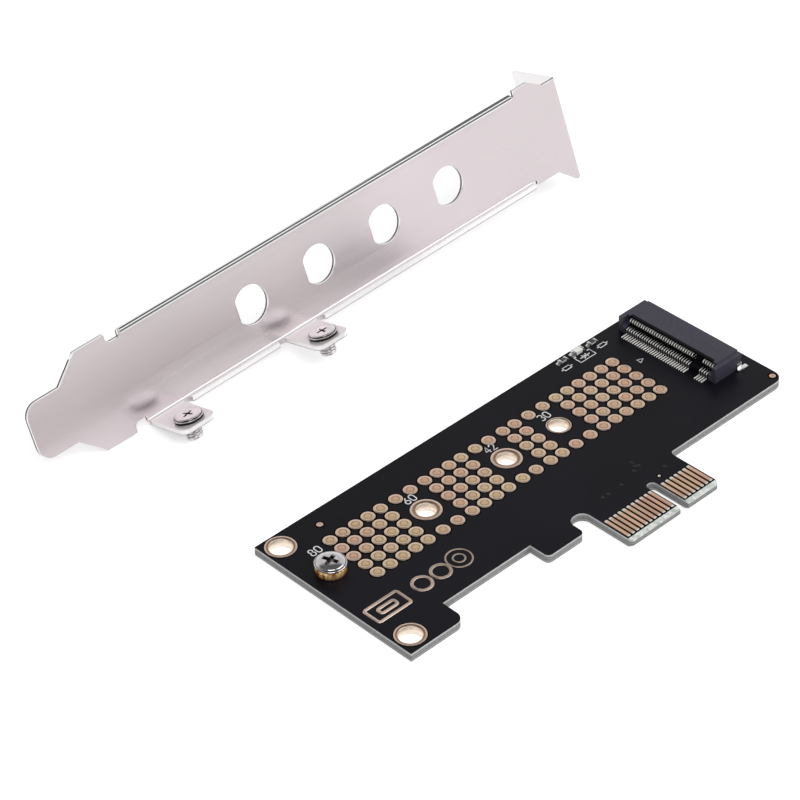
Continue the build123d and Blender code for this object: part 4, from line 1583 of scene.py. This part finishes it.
class CARD_OT_standoff(CardPiece, bpy.types.Operator):
    """Turn the brass stand-off and its clamp screw"""

    bl_idname = "card.standoff"
    bl_label = "Stand-off"

    def execute(self, context):
        look, _ = settings(context)
        spot = middle("standoff")
        place = Matrix.Translation((spot.x, spot.y, 0))
        low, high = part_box("standoff")
        top = high.z / MM
        self.collar(look, place, (high.y - low.y) / 2 / MM, low.z / MM, top)
        self.clamp_screw(look, place, top)
        return {"FINISHED"}

    def collar(self, look, place, radius, foot, top):
        """Brass collar over its spigot, knurled between two grooves."""
        bore, spigot = 1.05, 1.68
        level = BOARD_TOP / MM
        step = radius - 0.12
        work = bmesh.new()
        turned(
            work,
            [
                (bore, foot), (spigot, foot), (spigot, level), (radius - 0.22, level),
                (radius - 0.06, level + 0.1), (radius, level + 0.2), (radius, top - 0.32), (step, top - 0.22),
                (step, top - 0.04), (radius - 0.16, top), (bore, top), (bore, foot),
            ],
            180,
        )
        knurled(work, level + 0.15, top - 0.28, teeth=24, depth=0.10)
        bmesh.ops.transform(work, matrix=place, verts=work.verts)
        mesh = mesh_from(work, "brass_collar", 40.0)
        add_piece("brass_collar", mesh, brass_finish(look), "standoff_brass", "standoff")

    def clamp_screw(self, look, place, top):
        """Pan-head screw on the collar, its recess turned as in the photograph."""
        low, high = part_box("clamp_screw")
        seat = Matrix.Translation((0, 0, top * MM)) @ place @ Matrix.Rotation(math.radians(20), 4, "Z")
        head = pan_screw(
            "clamp_head", seat, radius=(high.y - low.y) / 2 / MM, height=high.z / MM - top,
            recess=1.85, half=0.46, flat=0.15, gap=0.02, brim=0.26,
        )
        work = bmesh.new()
        work.from_mesh(head)
        bpy.data.meshes.remove(head)
        thread(work, radius=0.98, depth=0.15, pitch=0.4, top=top + 0.05, bottom=low.z / MM, place=place)
        nickel = screw_finish("clamp_nickel", look.nickel_colour, 0.10, look.clamp_recess_shade_colour)
        mesh = mesh_from(work, "clamp_pan_screw", 32.0)
        add_piece("clamp_pan_screw", mesh, nickel, "screw_nickel", "clamp_screw")


class CARD_OT_bracket(CardPiece, bpy.types.Operator):
    """Finish the folded slot bracket and set its two screws"""

    bl_idname = "card.bracket"
    bl_label = "Slot bracket"

    def execute(self, context):
        look, sizes = settings(context)
        plate = eased_copy("slot_bracket", sizes.bracket_ease / MM, 2)
        add_piece("folded_bracket", plate, bracket_finish(look), "bracket_steel", "slot_bracket")
        nickel = screw_finish("screw_nickel_plate", look.nickel_colour, 0.2, look.recess_shade_colour)
        for n, recess_turn in ((1, 17), (2, -4)):
            self.screw(n, recess_turn, nickel, sizes)
        return {"FINISHED"}

    def screw(self, n, recess_turn, nickel, sizes):
        """A pan-head screw in the place of a CAD screw, across the bracket."""
        node = f"bracket_screw_{n}"
        points = node_points(node)
        heights = [co.dot(BRACKET_ACROSS) for co in points]
        crown, tip = max(heights), min(heights)
        foot = [co for co, h in zip(points, heights) if h < tip + 0.02 * MM]
        axis = sum(foot, Vector()) / len(foot)
        aside = [(co - axis).cross(BRACKET_ACROSS).length for co in points]
        radius = max(aside)
        seat = min(h for h, far in zip(heights, aside) if far > 0.8 * radius)
        base = axis + BRACKET_ACROSS * (seat - axis.dot(BRACKET_ACROSS))
        turn = Matrix((BRACKET_ALONG, -BRACKET_OUTWARD, BRACKET_ACROSS)).transposed().to_4x4()
        place = Matrix.Translation(base) @ turn @ Matrix.Rotation(math.radians(recess_turn), 4, "Z")
        # the head is a little narrower and lower than the plain one that it replaces
        head = pan_screw(
            node + "_head", place, radius=radius / MM - 0.25, height=(crown - seat) / MM - 0.1,
            recess=1.35, half=0.24, flat=0.64, gap=0.46, brim=0.66,
        )
        work = bmesh.new()
        work.from_mesh(head)
        bpy.data.meshes.remove(head)
        thread(
            work, radius=1.5, depth=sizes.thread_depth / MM, pitch=sizes.thread_pitch / MM,
            top=0.05, bottom=(tip - seat) / MM + 0.05, place=place,
        )
        mesh = mesh_from(work, node + "_done", 32.0)
        add_piece(f"bracket_pan_screw_{n}", mesh, nickel, "screw_nickel", node)


# Stage

# where the camera and the lamps look, and the camera's pose from there
AIM = Vector((0.036718, 0.023574, 0.0016))
CAMERA_RISE = 37.597
CAMERA_ROLL = -2.531
CAMERA_DISTANCE = 0.52270
CAMERA_LENS = 142.42

# the paper that the card lies on: its reach and its level in metres, its own grey, and how much
# brighter it is to the camera and in reflections
PAPER_REACH = 6.0
PAPER_LEVEL = -0.00003
PAPER_GREY = 0.9
PAPER_LIFT = 0.44
PAPER_GLOSS_LIFT = 0.32

# greys of the room by elevation, behind the card and on the camera's side
WALL_BANDS = ((0, 1.0), (8, 1.0), (20, 0.92), (30, 0.74), (45, 0.70), (54, 0.12), (90, 0.12))
FRONT_BANDS = ((0, 1.0), (8, 1.0), (13, 0.22), (90, 0.14))
ROOM_LIGHT = (0.55, 0.55, 0.55)

# name, place, power and size of each lamp
LAMPS = (
    ("key_lamp", (0.40, -0.45, 0.52), 2.3, 0.62),
    ("fill_lamp", (-0.25, -0.35, 0.75), 2.0, 0.5),
)


def seen_rays(made):
    """One for rays from the camera, off a gloss or through glass, and nought for the light itself."""
    rays = made.node("ShaderNodeLightPath").outputs
    mirrored = made.maths("MAXIMUM", rays["Is Camera Ray"], rays["Is Glossy Ray"])
    return made.maths("MAXIMUM", mirrored, rays["Is Transmission Ray"])


def banded(made, height, bands):
    """Greys by elevation, from pairs of degrees and grey."""
    return made.ramp(height, [(math.sin(math.radians(degrees)), grey) for degrees, grey in bands])


def paper_finish():
    """Matt white paper, lifted a little for the camera and in reflections."""
    paper = bpy.data.materials.new("floor_paper")
    paper.use_nodes = True
    paper.node_tree.nodes.clear()
    made = Shading(paper.node_tree)
    rays = made.node("ShaderNodeLightPath").outputs
    mirrored = made.maths("MULTIPLY", rays["Is Glossy Ray"], PAPER_GLOSS_LIFT)
    amount = made.node(
        "ShaderNodeMath", {0: rays["Is Camera Ray"], 1: PAPER_LIFT, 2: mirrored}, operation="MULTIPLY_ADD"
    )
    lift = made.node("ShaderNodeEmission", {"Strength": amount.outputs[0]})
    matt = made.node("ShaderNodeBsdfDiffuse", {"Color": (PAPER_GREY, PAPER_GREY, PAPER_GREY, 1)})
    both = made.node("ShaderNodeAddShader", {0: matt.outputs[0], 1: lift.outputs[0]})
    made.node("ShaderNodeOutputMaterial", {"Surface": both.outputs[0]})
    return paper


class CARD_OT_stage(CardPiece, bpy.types.Operator):
    """Set the floor, the light and the camera"""

    bl_idname = "card.stage"
    bl_label = "Stage"

    def execute(self, context):
        scene = context.scene
        scene.view_settings.view_transform = "Standard"
        self.floor(scene)
        self.room(scene)
        self.lamps(scene)
        self.camera(scene)
        return {"FINISHED"}

    def floor(self, scene):
        """The sheet of paper under the card."""
        mesh = bpy.data.meshes.new("floor")
        corners = [
            (x * PAPER_REACH, y * PAPER_REACH, PAPER_LEVEL) for x, y in ((-1, -1), (1, -1), (1, 1), (-1, 1))
        ]
        mesh.from_pydata(corners, [], [(0, 1, 2, 3)])
        mesh.materials.append(paper_finish())
        sheet = bpy.data.objects.new("floor", mesh)
        scene.collection.objects.link(sheet)

    def room(self, scene):
        """White paper to a low horizon, a pale wall behind the card, dim in front of it and above."""
        world = bpy.data.worlds.new("studio")
        scene.world = world
        world.use_nodes = True
        world.node_tree.nodes.clear()
        made = Shading(world.node_tree)
        direction = made.node("ShaderNodeTexCoord").outputs["Generated"]
        height = made.node("ShaderNodeSeparateXYZ", {0: direction}).outputs[2]
        turn = math.radians(CAMERA_TURN)
        behind = made.along(direction, (math.sin(-turn), math.cos(-turn), 0))
        side = made.node("ShaderNodeMapRange", {"Value": behind, "From Min": 0.0, "From Max": 0.3})
        front = banded(made, height, FRONT_BANDS)
        room = made.blend(side.outputs[0], front, banded(made, height, WALL_BANDS))
        light = made.node("ShaderNodeBackground", {"Color": made.blend(seen_rays(made), ROOM_LIGHT, room)})
        made.node("ShaderNodeOutputWorld", {"Surface": light.outputs[0]})

    def lamps(self, scene):
        """Two soft lamps on the camera's side."""
        for name, spot, power, size in LAMPS:
            data = bpy.data.lights.new(name, "AREA")
            data.energy = power
            data.size = size
            lamp = bpy.data.objects.new(name, data)
            lamp.location = spot
            lamp.rotation_euler = (AIM - Vector(spot)).to_track_quat("-Z", "Y").to_euler()
            scene.collection.objects.link(lamp)

    def camera(self, scene):
        """The camera at the photograph's angle."""
        rise, turn, roll = [math.radians(angle) for angle in (CAMERA_RISE, CAMERA_TURN, CAMERA_ROLL)]
        right = Vector((math.cos(turn), math.sin(turn), 0))
        backward = Vector((math.sin(turn) * math.cos(rise), -math.cos(turn) * math.cos(rise), math.sin(rise)))
        up = backward.cross(right)
        rolled_right = right * math.cos(roll) + up * math.sin(roll)
        rolled_up = up * math.cos(roll) - right * math.sin(roll)
        data = bpy.data.cameras.new("camera")
        data.sensor_width = 36
        data.lens = CAMERA_LENS
        data.clip_start = 0.01
        camera = bpy.data.objects.new("camera", data)
        scene.collection.objects.link(camera)
        axes = Matrix((rolled_right, rolled_up, backward)).transposed().to_4x4()
        camera.matrix_world = Matrix.Translation(AIM + backward * CAMERA_DISTANCE) @ axes
        scene.camera = camera


STEPS = (
    CARD_OT_board, CARD_OT_copper, CARD_OT_legend, CARD_OT_copper_shapes, CARD_OT_socket, CARD_OT_chips,
    CARD_OT_standoff, CARD_OT_bracket, CARD_OT_stage,
)


class CARD_PT_panel(bpy.types.Panel):
    """Lists the steps that dress the card"""

    bl_label = "Adapter card"
    bl_idname = "CARD_PT_panel"
    bl_space_type = "VIEW_3D"
    bl_region_type = "UI"
    bl_category = "Adapter Card"

    def draw(self, context):
        look, sizes = settings(context)
        for step in STEPS:
            self.layout.operator(step.bl_idname)
        for group in (look, sizes):
            box = self.layout.box()
            for name in group.bl_rna.properties.keys():
                if name not in {"rna_type", "name"}:
                    box.prop(group, name)


CLASSES = (CardLook, CardSizes, *STEPS, CARD_PT_panel)


def register():
    """Add the classes and the scene's properties."""
    for each in CLASSES:
        bpy.utils.register_class(each)
    bpy.types.Scene.card_look = PointerProperty(type=CardLook)
    bpy.types.Scene.card_sizes = PointerProperty(type=CardSizes)


def unregister():
    """Take the classes and the scene's properties away."""
    del bpy.types.Scene.card_sizes
    del bpy.types.Scene.card_look
    for each in reversed(CLASSES):
        bpy.utils.unregister_class(each)


def main():
    """Run every step in order."""
    register()
    for step in STEPS:
        group, name = step.bl_idname.split(".")
        getattr(getattr(bpy.ops, group), name)()


if __name__ == "__main__":
    main()
